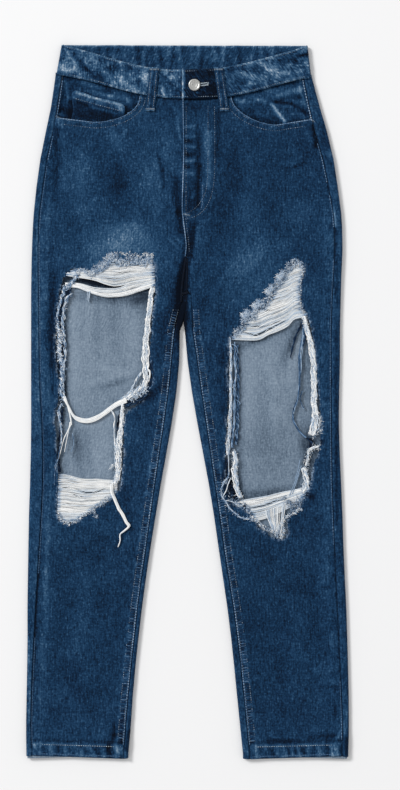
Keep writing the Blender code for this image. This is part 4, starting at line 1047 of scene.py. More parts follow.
columns = 3 * BAND_COLUMNS + 2 * ARC_COLUMNS
mesh, u, t = cloth_grid(columns, BAND_ROWS)
x, up, z, around = unrolled([band_path(k / BAND_ROWS) for k in range(BAND_ROWS + 1)])
on_front = ease(4, 7, z)
low_gap = BAND_DEPTH * t
high_gap = BAND_DEPTH * (1 - t)
tab_end = np.abs(x - FLY_EDGE_X) + 50 * (np.rint(u * columns) < columns / 2)
height = 0.55 * wave(around, up, 16, 13, 121) + 0.25 * wave(around, up, 6, 9, 122)
height = height + on_front * relief(BAND_FOLDS, x, up)
height = height - 0.7 * (bump(low_gap, 1) + bump(high_gap, 1.2) + bump(tab_end, 1))
height = height - 0.35 * bump(low_gap - 2.6, 0.8) + 0.2 * bump(low_gap - 5.5, 2)
mottle = wave(around, up, 9, 7, 123) + 0.7 * wave(around, up, 4, 5, 124)
on_back = z < 2 * SEAT_FLOOR
streaks = bump(wave(x + 0.6 * up, up, 10, 15, 151), 0.16)
streaks += bump(wave(x - 0.5 * up, up, 9, 17, 152), 0.13)
# The front's tone follows its relief, as painted highlight on the folds and painted shade in the creases and
# edge grooves.
front_tone = 0.39 + 0.11 * mottle + 0.10 * height + 0.12 * streaks + wear_and_shade(BAND_MARKS, x, up)
tone = np.where(on_back, 0.37 + 0.07 * mottle, front_tone)
# Each fold inside the back is painted: a painted highlight stripe with painted shade beside it.
for k, fold_x in enumerate(BACK_BAND_PAINTED_FOLDS):
    lean = (up - 985) * (0.12 if k % 2 else -0.10)
    tone = tone + on_back * (0.13 * bump(x - fold_x - lean, 2.2) - 0.11 * bump(x - fold_x - lean - 6, 3))
tone = tone + on_back * wear_and_shade([(38, 992, 46, 969, 1.6, 0.24)], x, up)
tone = tone + 0.34 * bump(high_gap, 1.8) + 0.18 * bump(low_gap - 0.8, 1) + 0.30 * bump(tab_end - 0.5, 1.6)
tab = (x < 46) * (x > FLY_EDGE_X) * ~on_back
tone = mix(tone, 0.02, 0.85 * tab * ease(2, 6, tab_end))
z = np.where(on_back, z + np.clip(height, 0, None) * 0.6, z + on_front * height)
shape_cloth(mesh, x, up, z, tone, around=around)
bm = bmesh.new()
bm.from_mesh(mesh)
bmesh.ops.reverse_faces(bm, faces=bm.faces)
bm.to_mesh(mesh)
bm.free()
band = sew("denim_waistband", mesh, BAND_WALL, (BAND_FACE, BAND_INSIDE), "band_denim", "waistband")


# ---------------- zip
# The closed zip lies hidden under the fly, so it is one plain woven tape.
ZIP_LOW = 769
ZIP_HIGH = 922
ZIP_WIDTH = 21
mesh, u, t = cloth_grid(8, 60)
x = RISE_X + RISE_GAP + ZIP_WIDTH * u
up = mix(ZIP_LOW, ZIP_HIGH, t)
z = level(RIGHT, np.full(len(x), RISE_X), up)
shape_cloth(mesh, x, up, z, 0.1)
ZIP_WEAVE = denim("zip_tape", [(0, srgb(14, 20, 34)), (1, srgb(52, 62, 80))], 0.1, 0.5)
tape = sew("zip_tape", mesh, 0.7, (ZIP_WEAVE,), "zip_tape", "zip")


# ---------------- belt loops
# Folded strips 12.5 mm wide with two rows of stitches, tacked at the top edge of the band
# and again below it. Two show on the front and three lie under the back of the band.
LOOP_WIDTH = 12.5
LOOP_WALL = 1.5


def belt_loop(name, node_name, top, foot, surface, under):
    mesh, u, t = cloth_grid(12, 44)
    aside = (u - 0.5) * LOOP_WIDTH * (-1 if under else 1)
    x = mix(foot[0], top[0], t) + aside
    up = mix(foot[1], top[1], t)
    rib = -0.35 * bump(np.abs(aside) - LOOP_WIDTH / 2, 0.8) + 0.25 * bump(np.abs(aside) - 1.2, 1.1)
    rib = rib - 0.25 * bump(np.abs(aside) - 3.9, 0.6)
    ends = bump(t, 0.05) + bump(1 - t, 0.05)
    tone = 0.22 + 0.18 * bump(np.abs(aside) - 5.6, 0.9) + 0.20 * bump(np.abs(aside) - 2.6, 1.1)
    tone = tone + 0.10 * wave(x, up, 3, 5, 131) + 0.22 * ends
    z = surface(x, up) + (-rib if under else rib)
    shape_cloth(mesh, x, up, z, tone)
    strip = sew(name, mesh, LOOP_WALL - (SEAM_GAP if under else 0), (DENIM_FACE,), "denim", node_name)


def loop_surface(leg):
    def surface(x, up):
        band_z = BAND_TOP + SEAM_GAP + LOOP_WALL + 0.5
        low = level(leg, x, up) + SEAM_GAP + LOOP_WALL + 0.35
        rise = band_low(x)
        return mix(low, band_z, ease(rise - 9, rise - 1, up))
    return surface


RIGHT_LOOP = ((-47, 968), (-53, 907))
LEFT_LOOP = ((42.5, 968), (51, 907))
belt_loop("denim_loop_front_right", "belt_loop_front_right", *RIGHT_LOOP, loop_surface(RIGHT), False)
belt_loop("denim_loop_front_left", "belt_loop_front_left", *LEFT_LOOP, loop_surface(LEFT), False)
for spot in ("right", "centre", "left"):
    low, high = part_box("belt_loop_back_" + spot)
    middle = (low.x + high.x) / 2 / MM - ZERO_X
    belt_loop("denim_loop_back_" + spot, "belt_loop_back_" + spot, (middle, high.y / MM + LENGTH / 2),
              (middle, low.y / MM + LENGTH / 2), lambda x, up: np.full(len(x), 0.35), True)


# ---------------- back pockets
# Two plain patch pockets, pointed at the foot, under the seat where the jeans lie on them.
POCKET_CENTRE = (84, 800)
POCKET_TILT = 4
POCKET_SHAPE = [(-66, 70), (0, 71), (66, 70), (63, 10), (60, -50), (30, -63), (0, -76), (-30, -63),
                (-60, -50), (-63, 10)]


def pocket_dress(x, up, gap):
    tone = 0.34 + 0.16 * bump(gap, 1.5) + 0.05 * wave(x, up, 20, 20, 141) - 0.08 * bump(gap - 2.5, 0.7)
    return 0.30 * bump(gap, 1), tone


for side in (RIGHT, LEFT):
    turn = math.radians(POCKET_TILT) * side.sign
    corners = [(px * math.cos(turn) - py * math.sin(turn) + POCKET_CENTRE[0] * side.sign,
                px * math.sin(turn) + py * math.cos(turn) + POCKET_CENTRE[1]) for px, py in POCKET_SHAPE]
    sides = zip(corners, corners[1:] + corners[:1])
    line = np.concatenate([np.linspace(start, end, 12, endpoint=False) for start, end in sides])
    patch("denim_back_pocket_" + side.name, line, 2.2, lambda x, up: np.zeros(len(x)), pocket_dress, DENIM,
          "denim", "back_pocket_" + side.name, under=True)


# ---------------- tack button
# A dull silver tack button, plain and slightly dished, on its shank in the buttonhole.
BUTTON_RADIUS = 8.3


def metal(name, colour, roughness):
    finish, tree, shader = new_finish(name)
    spot = node(tree, "TexCoord", {}).outputs["Object"]
    rub = node(tree, "TexNoise", {"Vector": spot, "Scale": 900, "Detail": 4}).outputs[0]
    shade = ramp(tree, rub, [(0.3, tuple(c * 0.55 for c in colour[:3]) + (1,)), (0.65, colour)])
    tree.links.new(shade, shader.inputs["Base Color"])
    dents = node(tree, "Bump", {"Height": rub, "Strength": 0.3, "Distance": 0.0003}).outputs[0]
    tree.links.new(dents, shader.inputs["Normal"])
    shader.inputs["Metallic"].default_value = 0.8
    shader.inputs["Roughness"].default_value = roughness
    return finish


button_low, button_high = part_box("button")
button_x = (button_low.x + button_high.x) / 2
button_y = (button_low.y + button_high.y) / 2
foot = button_low.z / MM
under = button_high.z / MM - 2.6
profile = [
    (0, under + 1.5), (2.4, under + 1.55), (3.6, under + 1.9), (4.3, under + 2), (4.9, under + 1.75),
    (5.6, under + 1.8), (6.3, under + 2.4), (7.2, under + 2.5), (7.9, under + 2.1),
    (BUTTON_RADIUS, under + 1.4), (BUTTON_RADIUS, under + 0.8), (BUTTON_RADIUS - 0.8, under),
    (2.6, under), (2.6, foot), (0, foot),
]
bm = bmesh.new()
points = [bm.verts.new((radius * MM, 0, z * MM)) for radius, z in profile]
edges = [bm.edges.new(pair) for pair in zip(points, points[1:])]
bmesh.ops.spin(bm, geom=points + edges, cent=(0, 0, 0), axis=(0, 0, 1), angle=2.0 * math.pi, steps=48,
               use_merge=True)
bmesh.ops.remove_doubles(bm, verts=bm.verts, dist=0.00001)
bmesh.ops.recalc_face_normals(bm, faces=bm.faces)
bmesh.ops.translate(bm, verts=bm.verts, vec=(button_x, button_y, 0.0))
button_mesh = bpy.data.meshes.new("button")
bm.to_mesh(button_mesh)
bm.free()
button_mesh.shade_smooth()
button_mesh.materials.append(metal("dull_silver", (0.62, 0.62, 0.60, 1), 0.38))
add_piece("tack_button", button_mesh, "button_metal", "button")


# ---------------- bare weft threads
# Where the blue warp has torn away, the undyed weft threads stay across the rip in bands,
# side by side, with a few slits where they have parted. They run in under the torn edge.
Yarn = namedtuple("Yarn", "points radius tone")
YARN_STOPS = [
    (0, srgb(4, 12, 26)), (0.22, srgb(18, 42, 70)), (0.42, srgb(70, 102, 136)),
    (0.58, srgb(146, 170, 196)), (0.74, srgb(204, 214, 224)), (0.88, srgb(238, 238, 236)),
    (1, srgb(250, 250, 250)),
]
THREAD = 0.5                # radius of a weft thread
THREAD_PITCH = 0.74
LOWEST_THREAD = 0.05


def yarn_finish(name, stops):
    finish, tree, shader = new_finish(name)
    spot = node(tree, "TexCoord", {}).outputs["Object"]
    tone = node(tree, "Attribute", {}, attribute_name="tone").outputs["Fac"]
    fibre = node(tree, "TexNoise", {"Vector": spot, "Scale": 700, "Detail": 3}).outputs[0]
    clump = node(tree, "TexNoise", {"Vector": spot, "Scale": 180, "Detail": 2}).outputs[0]
    shade = ramp(tree, add_up(tree, tone, [(fibre, 0.22), (clump, 0.16)]), stops)
    tree.links.new(shade, shader.inputs["Base Color"])
    shader.inputs["Roughness"].default_value = 0.95
    shader.inputs["Specular IOR Level"].default_value = 0.15
    shader.inputs["Sheen Weight"].default_value = 0.05
    return finish


YARN = yarn_finish("cotton_yarn", YARN_STOPS)


def lay(leg, line, lift=0):
    """Points x, up of a line with their height on the front layer."""
    flat = np.asarray(line, float)
    z = np.maximum(level(leg, flat[:, 0], flat[:, 1]) + lift, 1.6)
    return np.column_stack([flat[:, 0], flat[:, 1], z])


def thread_piece(name, points, faces, tones, finish, slot, nodes=()):
    """Threads joined in one mesh, with the shade of each point."""
    x, up, z = points.T
    mesh = bpy.data.meshes.new(name)
    mesh.from_pydata(place(x, up, np.maximum(z, LOWEST_THREAD)).tolist(), [], faces)
    mesh.attributes.new("tone", "FLOAT", "POINT").data.foreach_set("value", tones.astype(np.float32))
    mesh.shade_smooth()
    mesh.materials.append(finish)
    return add_piece(name, mesh, slot, *nodes)


def directions(line):
    """The way a line runs at each of its points."""
    way = np.gradient(line, axis=0)
    return way / np.maximum(np.linalg.norm(way, axis=1, keepdims=True), 1e-6)


def leftward(way):
    """Level directions to the left of the given ones."""
    return np.column_stack([-way[:, 1], way[:, 0]])


def twist_yarns(name, yarns, slot, *nodes, sides=4):
    """Round yarns joined in one mesh, in place of the CAD nodes."""
    points, faces, tones = [], [], []
    turn = 2 * np.pi * (np.arange(sides) + 0.5) / sides
    start = 0
    for path, radius, tone in yarns:
        count = len(path)
        way = directions(path)
        aside = np.column_stack([leftward(way), np.zeros(count)])
        aside /= np.maximum(np.linalg.norm(aside, axis=1, keepdims=True), 1e-6)
        over = np.cross(way, aside)
        ring = np.cos(turn)[:, None] * aside[:, None, :] + np.sin(turn)[:, None] * over[:, None, :]
        rings = path[:, None, :] + np.broadcast_to(radius, count)[:, None, None] * ring
        points.append(rings.reshape(-1, 3))
        tones.append(np.repeat(np.broadcast_to(tone, count), sides))
        base = start + sides * np.arange(count - 1)[:, None] + np.arange(sides)
        after = start + sides * np.arange(count - 1)[:, None] + (np.arange(sides) + 1) % sides
        faces += np.stack([base, after, after + sides, base + sides], axis=-1).reshape(-1, 4).tolist()
        last = start + sides * (count - 1)
        faces.append(list(range(start + sides - 1, start - 1, -1)))
        faces.append(list(range(last, last + sides)))
        start += sides * count
    return thread_piece(name, np.concatenate(points), faces, np.concatenate(tones), YARN, slot, nodes)


def parted(x, up, slits):
    """Heights of threads, pushed apart by slits: each a line of x, up and how far it opens."""
    for line, opening in slits:
        slit_x, slit_up = np.array(line, float).T
        share = np.clip((x - slit_x[0]) / (slit_x[-1] - slit_x[0]), 0, 1)
        away = up - np.interp(x, slit_x, slit_up)
        up = up + np.sign(away) * opening * np.sqrt(np.sin(np.pi * share)) * np.exp(-np.abs(away) / 3)
    return up


def ripple(along, size, seed):
    """Smooth uneven values along one line."""
    return wave(along, along * 0, size, 1, seed)


def weft_band(leg, torn_line, upper, lower, slits, seed, grey=0):
    """Threads side by side between two flow lines, cut off where they pass under the torn edge."""
    chance = np.random.default_rng(seed)
    top = smooth_line(upper, 4)
    foot = smooth_line(lower, 4)
    x = np.arange(max(top[0, 0], foot[0, 0]), min(top[-1, 0], foot[-1, 0]), 3)
    high = np.interp(x, *top.T)
    low = np.interp(x, *foot.T)
    count = int((high - low).max() / THREAD_PITCH)
    yarns = []
    for k in range(count + 1):
        share = np.clip((k + chance.uniform(-0.25, 0.25)) / count, 0, 1)
        sway = 0.35 * ripple(x + 53 * k, 15, seed + 1)
        up = parted(x, mix(low, high, share) + sway * min(1, 4 * share + 0.3), slits)
        gap = side_of(x, up, torn_line)[0]
        shows = gap < 1.6
        runs = np.split(np.arange(len(x)), np.where(np.diff(shows.astype(int)) != 0)[0] + 1)
        for run in [run for run in runs if shows[run[0]] and len(run) > 3]:
            run_x, run_up = x[run], up[run]
            height = chance.uniform(-0.35, 0.15) + 0.2 * wave(run_x + 31 * k, run_up, 12, 3, seed + 2)
            slub = 1 + 0.2 * wave(run_x + 17 * k, run_up, 6, 3, seed + 3)
            radius = THREAD * chance.uniform(0.75, 1.2) * slub
            tone = chance.uniform(0.74, 0.98) - grey + 0.06 * wave(run_x, run_up, 24, 9, seed + 4)
            dyed = (1 - ease(1, 7, -gap[run])) * chance.uniform(0, 0.55)
            points = lay(leg, np.column_stack([run_x, run_up]), -0.6)
            points[:, 2] += height
            yarns.append(Yarn(points, radius, tone - dyed))
    return yarns


weft_yarns = weft_band(
    RIGHT, RIGHT_TORN,
    [(-172, 682), (-140, 690), (-122, 697), (-108, 701), (-75, 704), (-42, 704)],
    [(-172, 677), (-134, 671), (-116, 665), (-103, 662), (-90, 664), (-75, 668), (-42, 673)],
    [([(-110, 682), (-90, 681), (-68, 683)], 0.35), ([(-125, 676), (-105, 672), (-88, 674)], 0.35),
     ([(-86, 690), (-60, 691)], 0.25)], 201)
right_top = twist_yarns("weft_band_right_top", weft_yarns, "weft", "right_weft_top")
weft_yarns = weft_band(
    RIGHT, RIGHT_TORN,
    [(-172, 667), (-153, 666), (-133, 661), (-110, 659), (-94, 661), (-78, 667), (-42, 673)],
    [(-172, 661), (-155, 660), (-142, 655), (-128, 650), (-112, 647), (-88, 649), (-68, 655), (-42, 664)],
    [([(-94, 655), (-78, 659), (-60, 665)], 0.4)], 211)
for hang_x, hang_low in ((-141, 642), (-139, 640), (-138, 645)):
    hang = [(hang_x + 1, 655), (hang_x, 648), (hang_x, hang_low)]
    weft_yarns.append(Yarn(lay(RIGHT, smooth_line(hang, 2), 0.2), 0.6, 0.66))
right_strip = twist_yarns("weft_strip_right", weft_yarns, "weft", "right_weft_strip")
weft_yarns = weft_band(
    RIGHT, RIGHT_TORN,
    [(-192, 399), (-170, 398), (-150, 393), (-125, 392), (-96, 390)],
    [(-192, 333), (-145, 333), (-96, 343)],
    [([(-157, 378), (-145, 373), (-132, 373), (-116, 378)], 1.2),
     ([(-162, 371), (-153, 367), (-145, 367)], 0.8),
     ([(-177, 380), (-167, 380)], 0.6), ([(-176, 357), (-162, 357)], 0.4),
     ([(-148, 362), (-130, 362)], 0.35), ([(-172, 390), (-148, 386)], 0.35)], 221)
right_foot = twist_yarns("weft_band_right_foot", weft_yarns, "weft", "right_weft_bottom")
weft_yarns = weft_band(
    LEFT, LEFT_TORN,
    [(48, 670), (90, 679), (125, 692), (172, 707)],
    [(48, 589), (70, 587), (98, 587), (112, 594), (128, 600), (141, 607), (149, 616), (172, 620)],
    [([(77, 598), (95, 593), (112, 601), (138, 615)], 1.6),
     ([(84, 607), (103, 605), (116, 608), (132, 615)], 0.9),
     ([(103, 630), (112, 628), (119, 629)], 0.9), ([(106, 619), (124, 625), (140, 632)], 0.4),
     ([(110, 640), (128, 646), (146, 650)], 0.4), ([(122, 652), (146, 658)], 0.4),
     ([(130, 667), (152, 675)], 0.3)], 231, grey=0.05)
left_top = twist_yarns("weft_band_left_top", weft_yarns, "weft", "left_weft_top")
weft_yarns = weft_band(
    LEFT, LEFT_TORN,
    [(48, 360), (80, 363), (103, 367), (130, 373), (172, 382)],
    [(48, 327), (82, 331), (112, 338), (138, 350), (172, 368)],
    [([(87, 351), (104, 354), (120, 360), (134, 364)], 1), ([(108, 342), (126, 348)], 0.4)],
    241, grey=0.06)
chance = np.random.default_rng(242)
for k in range(40):
    foot_x = chance.uniform(108, 138)
    bend_x = mix(foot_x, 124, 0.25)
    tip_x = mix(foot_x, 126, 0.7) + chance.uniform(-2, 2)
    ends = [(foot_x, 348 + 0.3 * (foot_x - 108)), (bend_x, 334), (tip_x, chance.uniform(312, 326))]
    weft_yarns.append(Yarn(lay(LEFT, smooth_line(ends, 3), chance.uniform(-0.4, 0.3)), 0.45,
                           chance.uniform(0.6, 0.92)))
left_foot = twist_yarns("weft_band_left_foot", weft_yarns, "weft", "left_weft_bottom")


# ---------------- strand and loose yarn
# Several weft threads lie together as one sagging strand across the wearer's right rip. A
# pulled yarn hangs from the knee over the panel below it.
def strand(leg, lines, seed, lift=0.2):
    """Yarns from rows of x, up and radius, each a little slubby."""
    made = []
    for k, line in enumerate(lines):
        middle = smooth_line(line, 2)
        x, up, radius = middle.T
        points = lay(leg, middle, lift)
        points[:, 1] += 0.3 * wave(x + 37 * k, up, 7, 7, seed)
        slub = 1 + 0.18 * wave(x, up + 29 * k, 5, 5, seed + 1)
        made.append(Yarn(points, radius * slub, 0.86 + 0.06 * wave(x, up + 11 * k, 8, 8, seed + 2)))
    return made


STRAND_LINE = [(-174, 506), (-168, 495), (-162, 483), (-156, 477), (-146, 474), (-136, 475), (-124, 480),
               (-110, 490), (-98, 498), (-86, 503)]
STRAND_CORDS = []
for aside, radius in ((2.2, 1.1), (0.4, 1.3), (-1.5, 1.2), (-3, 0.8), (1.2, 0.9)):
    STRAND_CORDS.append([(x - 0.2 * aside, up + aside, radius) for x, up in STRAND_LINE])
STRAND_CORDS += [
    [(-172, 508, 0.9), (-168, 494, 1.3), (-165, 480, 1.2), (-163, 468, 0.9)],
    [(-163, 470, 0.9), (-168, 460, 0.8), (-173, 450, 0.7), (-177, 436, 0.5), (-181, 421, 0.4)],
    [(-165, 472, 0.8), (-168, 456, 0.6), (-171, 441, 0.5), (-173, 430, 0.4)],
]
right_strand = twist_yarns("weft_strand_right", strand(RIGHT, STRAND_CORDS, 251), "weft",
                           "right_weft_strand", sides=6)
LOOSE_LINE = [(-107, 386), (-107, 374), (-103, 364), (-98, 352), (-92, 342), (-87, 332), (-83, 326),
              (-89, 320), (-95, 315), (-95, 306), (-98, 297)]
LOOSE_SIZES = (1.6, 1.7, 1.7, 1.8, 1.9, 1.8, 1.6, 1.3, 1.1, 0.9, 0.6)
LOOSE_CORDS = [
    [(x, up, size) for (x, up), size in zip(LOOSE_LINE, LOOSE_SIZES)],
    [(x + 1.8, up + 0.8, 0.55 * size) for (x, up), size in zip(LOOSE_LINE[:9], LOOSE_SIZES)],
]
loose_yarn = twist_yarns("loose_weft_yarn", strand(RIGHT, LOOSE_CORDS, 261, lift=1.9), "weft", "loose_yarn",
                         sides=6)


# ---------------- frayed edges
# Warp and weft ends left along the rips have rolled and matted into soft strips, with short
# curled ends standing out of them and over the torn edge of the cloth. Dark cords laid low
# under the strips stand in for the shade beneath them.
def run_along(line):
    """How far each point of a line lies along it."""
    return np.concatenate([[0], np.cumsum(np.linalg.norm(np.diff(line, axis=0), axis=1))])


def braid(leg, line, cords, tones, seed, lift=-0.3, period=13, radius=0.55, matted=6):
    """Cords that cross one another along a strip; rows of x, up and width."""
    chance = np.random.default_rng(seed)
    middle = smooth_line(line, 2.5)
    aside = leftward(directions(middle[:, :2])) * middle[:, 2:] / 2
    along = run_along(middle[:, :2])
    made = []
    for k in range(cords):
        phase = chance.uniform(0, 2 * np.pi)
        turn = 2 * np.pi * along / (period * chance.uniform(0.6, 1.5)) + phase
        swing = chance.uniform(0.25, 1)
        stray = ripple(along + 61 * k, matted, seed + 1)
        off = swing * (0.45 * np.sin(turn) + 0.75 * stray)
        if matted < 5:  # felted: side by side across the whole strip
            berth = 2 * (k + 0.5) / cords - 1
            off = 0.72 * berth + 0.3 * stray + 0.15 * np.sin(turn)
        points = lay(leg, middle[:, :2] + aside * off[:, None], lift)
        points[:, 2] += 0.45 * np.cos(turn) + chance.uniform(-0.2, 0.2)
        size = radius * chance.uniform(0.7, 1.3) * (1 + 0.25 * ripple(along + 23 * k, 3, seed + 2))
        made.append(Yarn(points, size, chance.choice(tones) + 0.13 * ripple(along + 41 * k, 4, seed + 3)))
    return made


def curls(leg, line, per_mm, length, tones, seed, lean=90, spread=180, scatter=1, lift=0, radius=0.26):
    """Short curled ends along a line; lean turns them from the line's direction, in degrees."""
    chance = np.random.default_rng(seed)
    middle = smooth_line(line, 1)[:, :2]
    steps = 4
    made = []
    for k in range(int(len(middle) * per_mm)):
        spot = chance.integers(0, len(middle) - 1)
        way = middle[spot + 1] - middle[spot]
        angle = math.atan2(way[1], way[0]) + math.radians(lean + chance.uniform(-spread, spread))
        size = length * chance.uniform(0.45, 1.15)
        angles = angle + chance.uniform(-1.6, 1.6) * np.linspace(0, 1.6, steps) ** 1.3
        hops = np.column_stack([np.cos(angles), np.sin(angles)]) * size / steps
        root = middle[spot] + chance.uniform(-scatter, scatter, 2)
        points = lay(leg, root + np.vstack([[0, 0], np.cumsum(hops, axis=0)]), lift)
        arch = np.sin(np.linspace(0, np.pi, steps + 1)) * chance.uniform(0, 0.9)
        points[:, 2] += arch + chance.uniform(-0.2, 0.3)
        taper = radius * np.linspace(1.15, 0.55, steps + 1) * chance.uniform(0.8, 1.3)
        made.append(Yarn(points, taper, chance.choice(tones) + chance.uniform(-0.05, 0.05)))
    return made


# Near-black tones of the low cords that stand in for the shade under the frayed strips.
SHADE_NAVY = [0.02, 0.08, 0.15]
BLUES = [0.25, 0.4, 0.5, 0.55]
PALE = [0.5, 0.6, 0.66, 0.75]
WHITE = [0.66, 0.76, 0.86, 0.95]

OUTER_BRAID = [
    (-154, 678, 4), (-162, 667, 8), (-171, 660, 9), (-175, 651, 7), (-180, 635, 4), (-183, 615, 4),
    (-181, 600, 5), (-179, 588, 8), (-180, 572, 10), (-178, 560, 7), (-177, 545, 5), (-178, 515, 4),
    (-173, 502, 5),
]
INNER_BRAID = [
    (-162, 653, 4), (-170, 644, 6), (-173, 630, 8), (-176, 610, 6), (-174, 590, 7), (-172, 570, 5),
    (-174, 545, 4), (-175, 522, 4), (-172, 505, 4),
]
SHADE_CORDS = [(-163, 662, 8), (-175, 640, 10), (-180, 610, 10), (-177, 575, 12), (-177, 530, 11),
               (-171, 505, 8)]
ARCH = [(-139, 678, 4), (-144, 684, 5), (-150, 686, 5), (-156, 682, 5), (-157, 674, 4)]
fray = braid(RIGHT, SHADE_CORDS, 12, SHADE_NAVY, 301, lift=-1.6, radius=0.9)
fray += braid(RIGHT, OUTER_BRAID, 9, BLUES + PALE + WHITE[:2], 302, period=11, radius=0.95)
fray += braid(RIGHT, INNER_BRAID, 8, BLUES + PALE, 303, lift=-0.6, radius=0.7)
fray += braid(RIGHT, ARCH, 8, PALE, 304, radius=0.6)
fray += curls(RIGHT, ARCH, 2, 3, PALE + WHITE, 309, scatter=2.4, lift=0.2, radius=0.36)
fray += braid(RIGHT, [(-166, 680, 1), (-160, 677, 2), (-155, 674, 2)], 2, PALE, 305, lift=0.2)
fray += curls(RIGHT, OUTER_BRAID, 1.4, 3.6, PALE + BLUES, 306, scatter=3.6, radius=0.38, lift=0.2)
fray += curls(RIGHT, OUTER_BRAID[6:10], 2.6, 3.2, WHITE, 308, scatter=3.8, lift=0.3, radius=0.4)
fray += curls(RIGHT, INNER_BRAID, 1, 3.2, BLUES + PALE, 307, spread=120, scatter=2.8, lift=-0.2, radius=0.36)
fray_right_outer = twist_yarns("frayed_edge_right_outer", fray, "fray", "right_fray_outer")

LOWER_BRAID = [(-177, 498, 4), (-181, 485, 6), (-179, 472, 5), (-177, 458, 4), (-178, 440, 3),
               (-181, 424, 3), (-186, 408, 2), (-187, 384, 2)]
fray = braid(RIGHT, [(-176, 490, 6), (-178, 460, 9), (-181, 430, 9), (-181, 402, 8)], 9, SHADE_NAVY, 311,
             lift=-1.8, radius=0.9)
fray += braid(RIGHT, LOWER_BRAID[:5], 6, BLUES + PALE, 312, radius=0.7)
fray += braid(RIGHT, LOWER_BRAID[4:], 2, BLUES, 313, lift=0.3, radius=0.5)
fray += braid(RIGHT, [(-162, 456, 1), (-160, 441, 1), (-164, 430, 1)], 1, BLUES, 315, radius=0.4)
fray += curls(RIGHT, LOWER_BRAID[:4], 1.2, 3.5, BLUES + PALE, 314, scatter=2)
fray_right_lower = twist_yarns("frayed_edge_right_lower", fray, "fray", "right_fray_lower")

INNER_EDGE = [
    (-49, 660, 6), (-52, 648, 8), (-54, 628, 8), (-57, 605, 9), (-59, 585, 9.5), (-60, 562, 11),
    (-59, 542, 11.5), (-59, 530, 11), (-62, 518, 9),
]
# Dark cords at the rip's inner corner, behind the pale clump, stand in for its shade.
CORNER_SHADE = [(-51, 560, 5), (-51, 540, 8), (-54, 524, 11), (-63, 511, 12), (-76, 501, 10), (-88, 495, 7)]
fray = braid(RIGHT, INNER_EDGE, 16, WHITE, 321, lift=-0.1, period=26, radius=0.78, matted=3.5)
fray += braid(RIGHT, CORNER_SHADE, 12, SHADE_NAVY + [0.2], 327, lift=-0.9, period=30, radius=0.9, matted=3.5)
fray += curls(RIGHT, INNER_EDGE, 2.6, 2.2, WHITE, 322, lean=80, spread=70, scatter=2.4, lift=0.3, radius=0.36)
fray += curls(RIGHT, INNER_EDGE, 1.6, 2, WHITE, 323, lean=260, spread=70, scatter=2.4, lift=0.3, radius=0.36)
fray += braid(RIGHT, [(-66, 542, 3), (-73, 529, 4), (-79, 519, 5), (-84, 510, 5)], 5, PALE, 324, lift=-0.2)
fray += braid(RIGHT, [(-66, 521, 6), (-75, 513, 10), (-85, 507, 9), (-95, 500, 5)], 13, WHITE, 325,
              lift=0.1, radius=0.7, matted=3.5)
fray += curls(RIGHT, [(-66, 520), (-76, 512), (-94, 501)], 5, 3.6, PALE + WHITE, 326, scatter=4.5, lift=0.2)
fray += curls(RIGHT, [(-60, 519), (-68, 512), (-79, 505)], 5, 4.4, PALE + WHITE[:2], 328, scatter=5,
              lift=0.3, radius=0.42)
fray_right_inner = twist_yarns("frayed_edge_right_inner", fray, "fray", "right_fray_inner")

LADDER = [(-92, 497, 4), (-93, 474, 6), (-95, 456, 8), (-97, 438, 11), (-98, 418, 11), (-98, 402, 10),
          (-101, 389, 7), (-107, 380, 5)]
THIN_LADDER = [(-107, 489, 4), (-103, 476, 3), (-104, 460, 3), (-103, 445, 3), (-102, 432, 4)]
fray = braid(RIGHT, [(-93, 492, 8), (-97, 465, 9), (-97, 440, 10), (-96, 400, 9)], 8, SHADE_NAVY, 331, lift=-1.7,
             radius=0.9)
fray += braid(RIGHT, LADDER, 13, WHITE, 332, lift=-0.1, period=22, radius=0.7, matted=3.5)
fray += braid(RIGHT, THIN_LADDER, 4, WHITE, 333, period=20)
fray += curls(RIGHT, LADDER, 2, 2.8, WHITE + PALE, 334, spread=70, scatter=3, lift=0.2, radius=0.36)
fray += curls(RIGHT, LADDER[3:], 1.8, 3.2, WHITE, 335, lean=270, spread=70, scatter=3.2, lift=0.2,
              radius=0.36)
fray += curls(RIGHT, [(-105, 412), (-110, 406)], 4, 3, WHITE, 336)
for cross in (449, 443, 436, 430):
    fray.append(Yarn(lay(RIGHT, smooth_line([(-104, cross), (-98, cross - 2), (-92, cross + 1)], 2)), 0.5,
                     0.75))
fray_right_ladder = twist_yarns("frayed_edge_right_ladder", fray, "fray", "right_fray_ladder")

LEFT_EDGE = [(59, 590, 2), (60, 570, 4), (60, 545, 4), (60, 520, 5), (60, 500, 5), (59, 480, 6),
             (58, 455, 6), (56, 437, 7), (56, 426, 6)]
LEFT_FOLD = [(65, 584, 2), (66, 565, 4), (66, 530, 5), (65, 500, 5), (65, 475, 4), (63, 455, 4), (62, 436, 4)]
THICK_EDGE = [(65, 431, 5), (67, 417, 7), (65, 403, 9), (67, 390, 9), (69, 378, 8), (74, 366, 6)]
LOOP = [(56, 432, 1), (57, 412, 1), (57, 397, 1.4), (51, 388, 1.8), (47, 379, 2), (47, 369, 2),
        (53, 360, 2.2), (60, 350, 2.2), (70, 341, 2.4), (79, 337, 2.4), (91, 335, 2)]
fray = braid(LEFT, [(68, 580, 8), (70, 540, 8), (69, 500, 9), (68, 440, 10)], 9, [0.25, 0.35, 0.42], 341,
             lift=-2.2, radius=0.8)
fray += braid(LEFT, [(56, 420, 5), (56, 390, 8), (60, 372, 14), (74, 358, 10), (82, 350, 8)], 16, SHADE_NAVY, 342,
              lift=-1.4, radius=1)
fray += braid(LEFT, LEFT_EDGE, 7, PALE + WHITE, 343, period=24, radius=0.65, matted=4)
fray += braid(LEFT, LEFT_FOLD, 7, [0.4, 0.46, 0.5, 0.56], 344, lift=-0.6, period=60, radius=0.7)
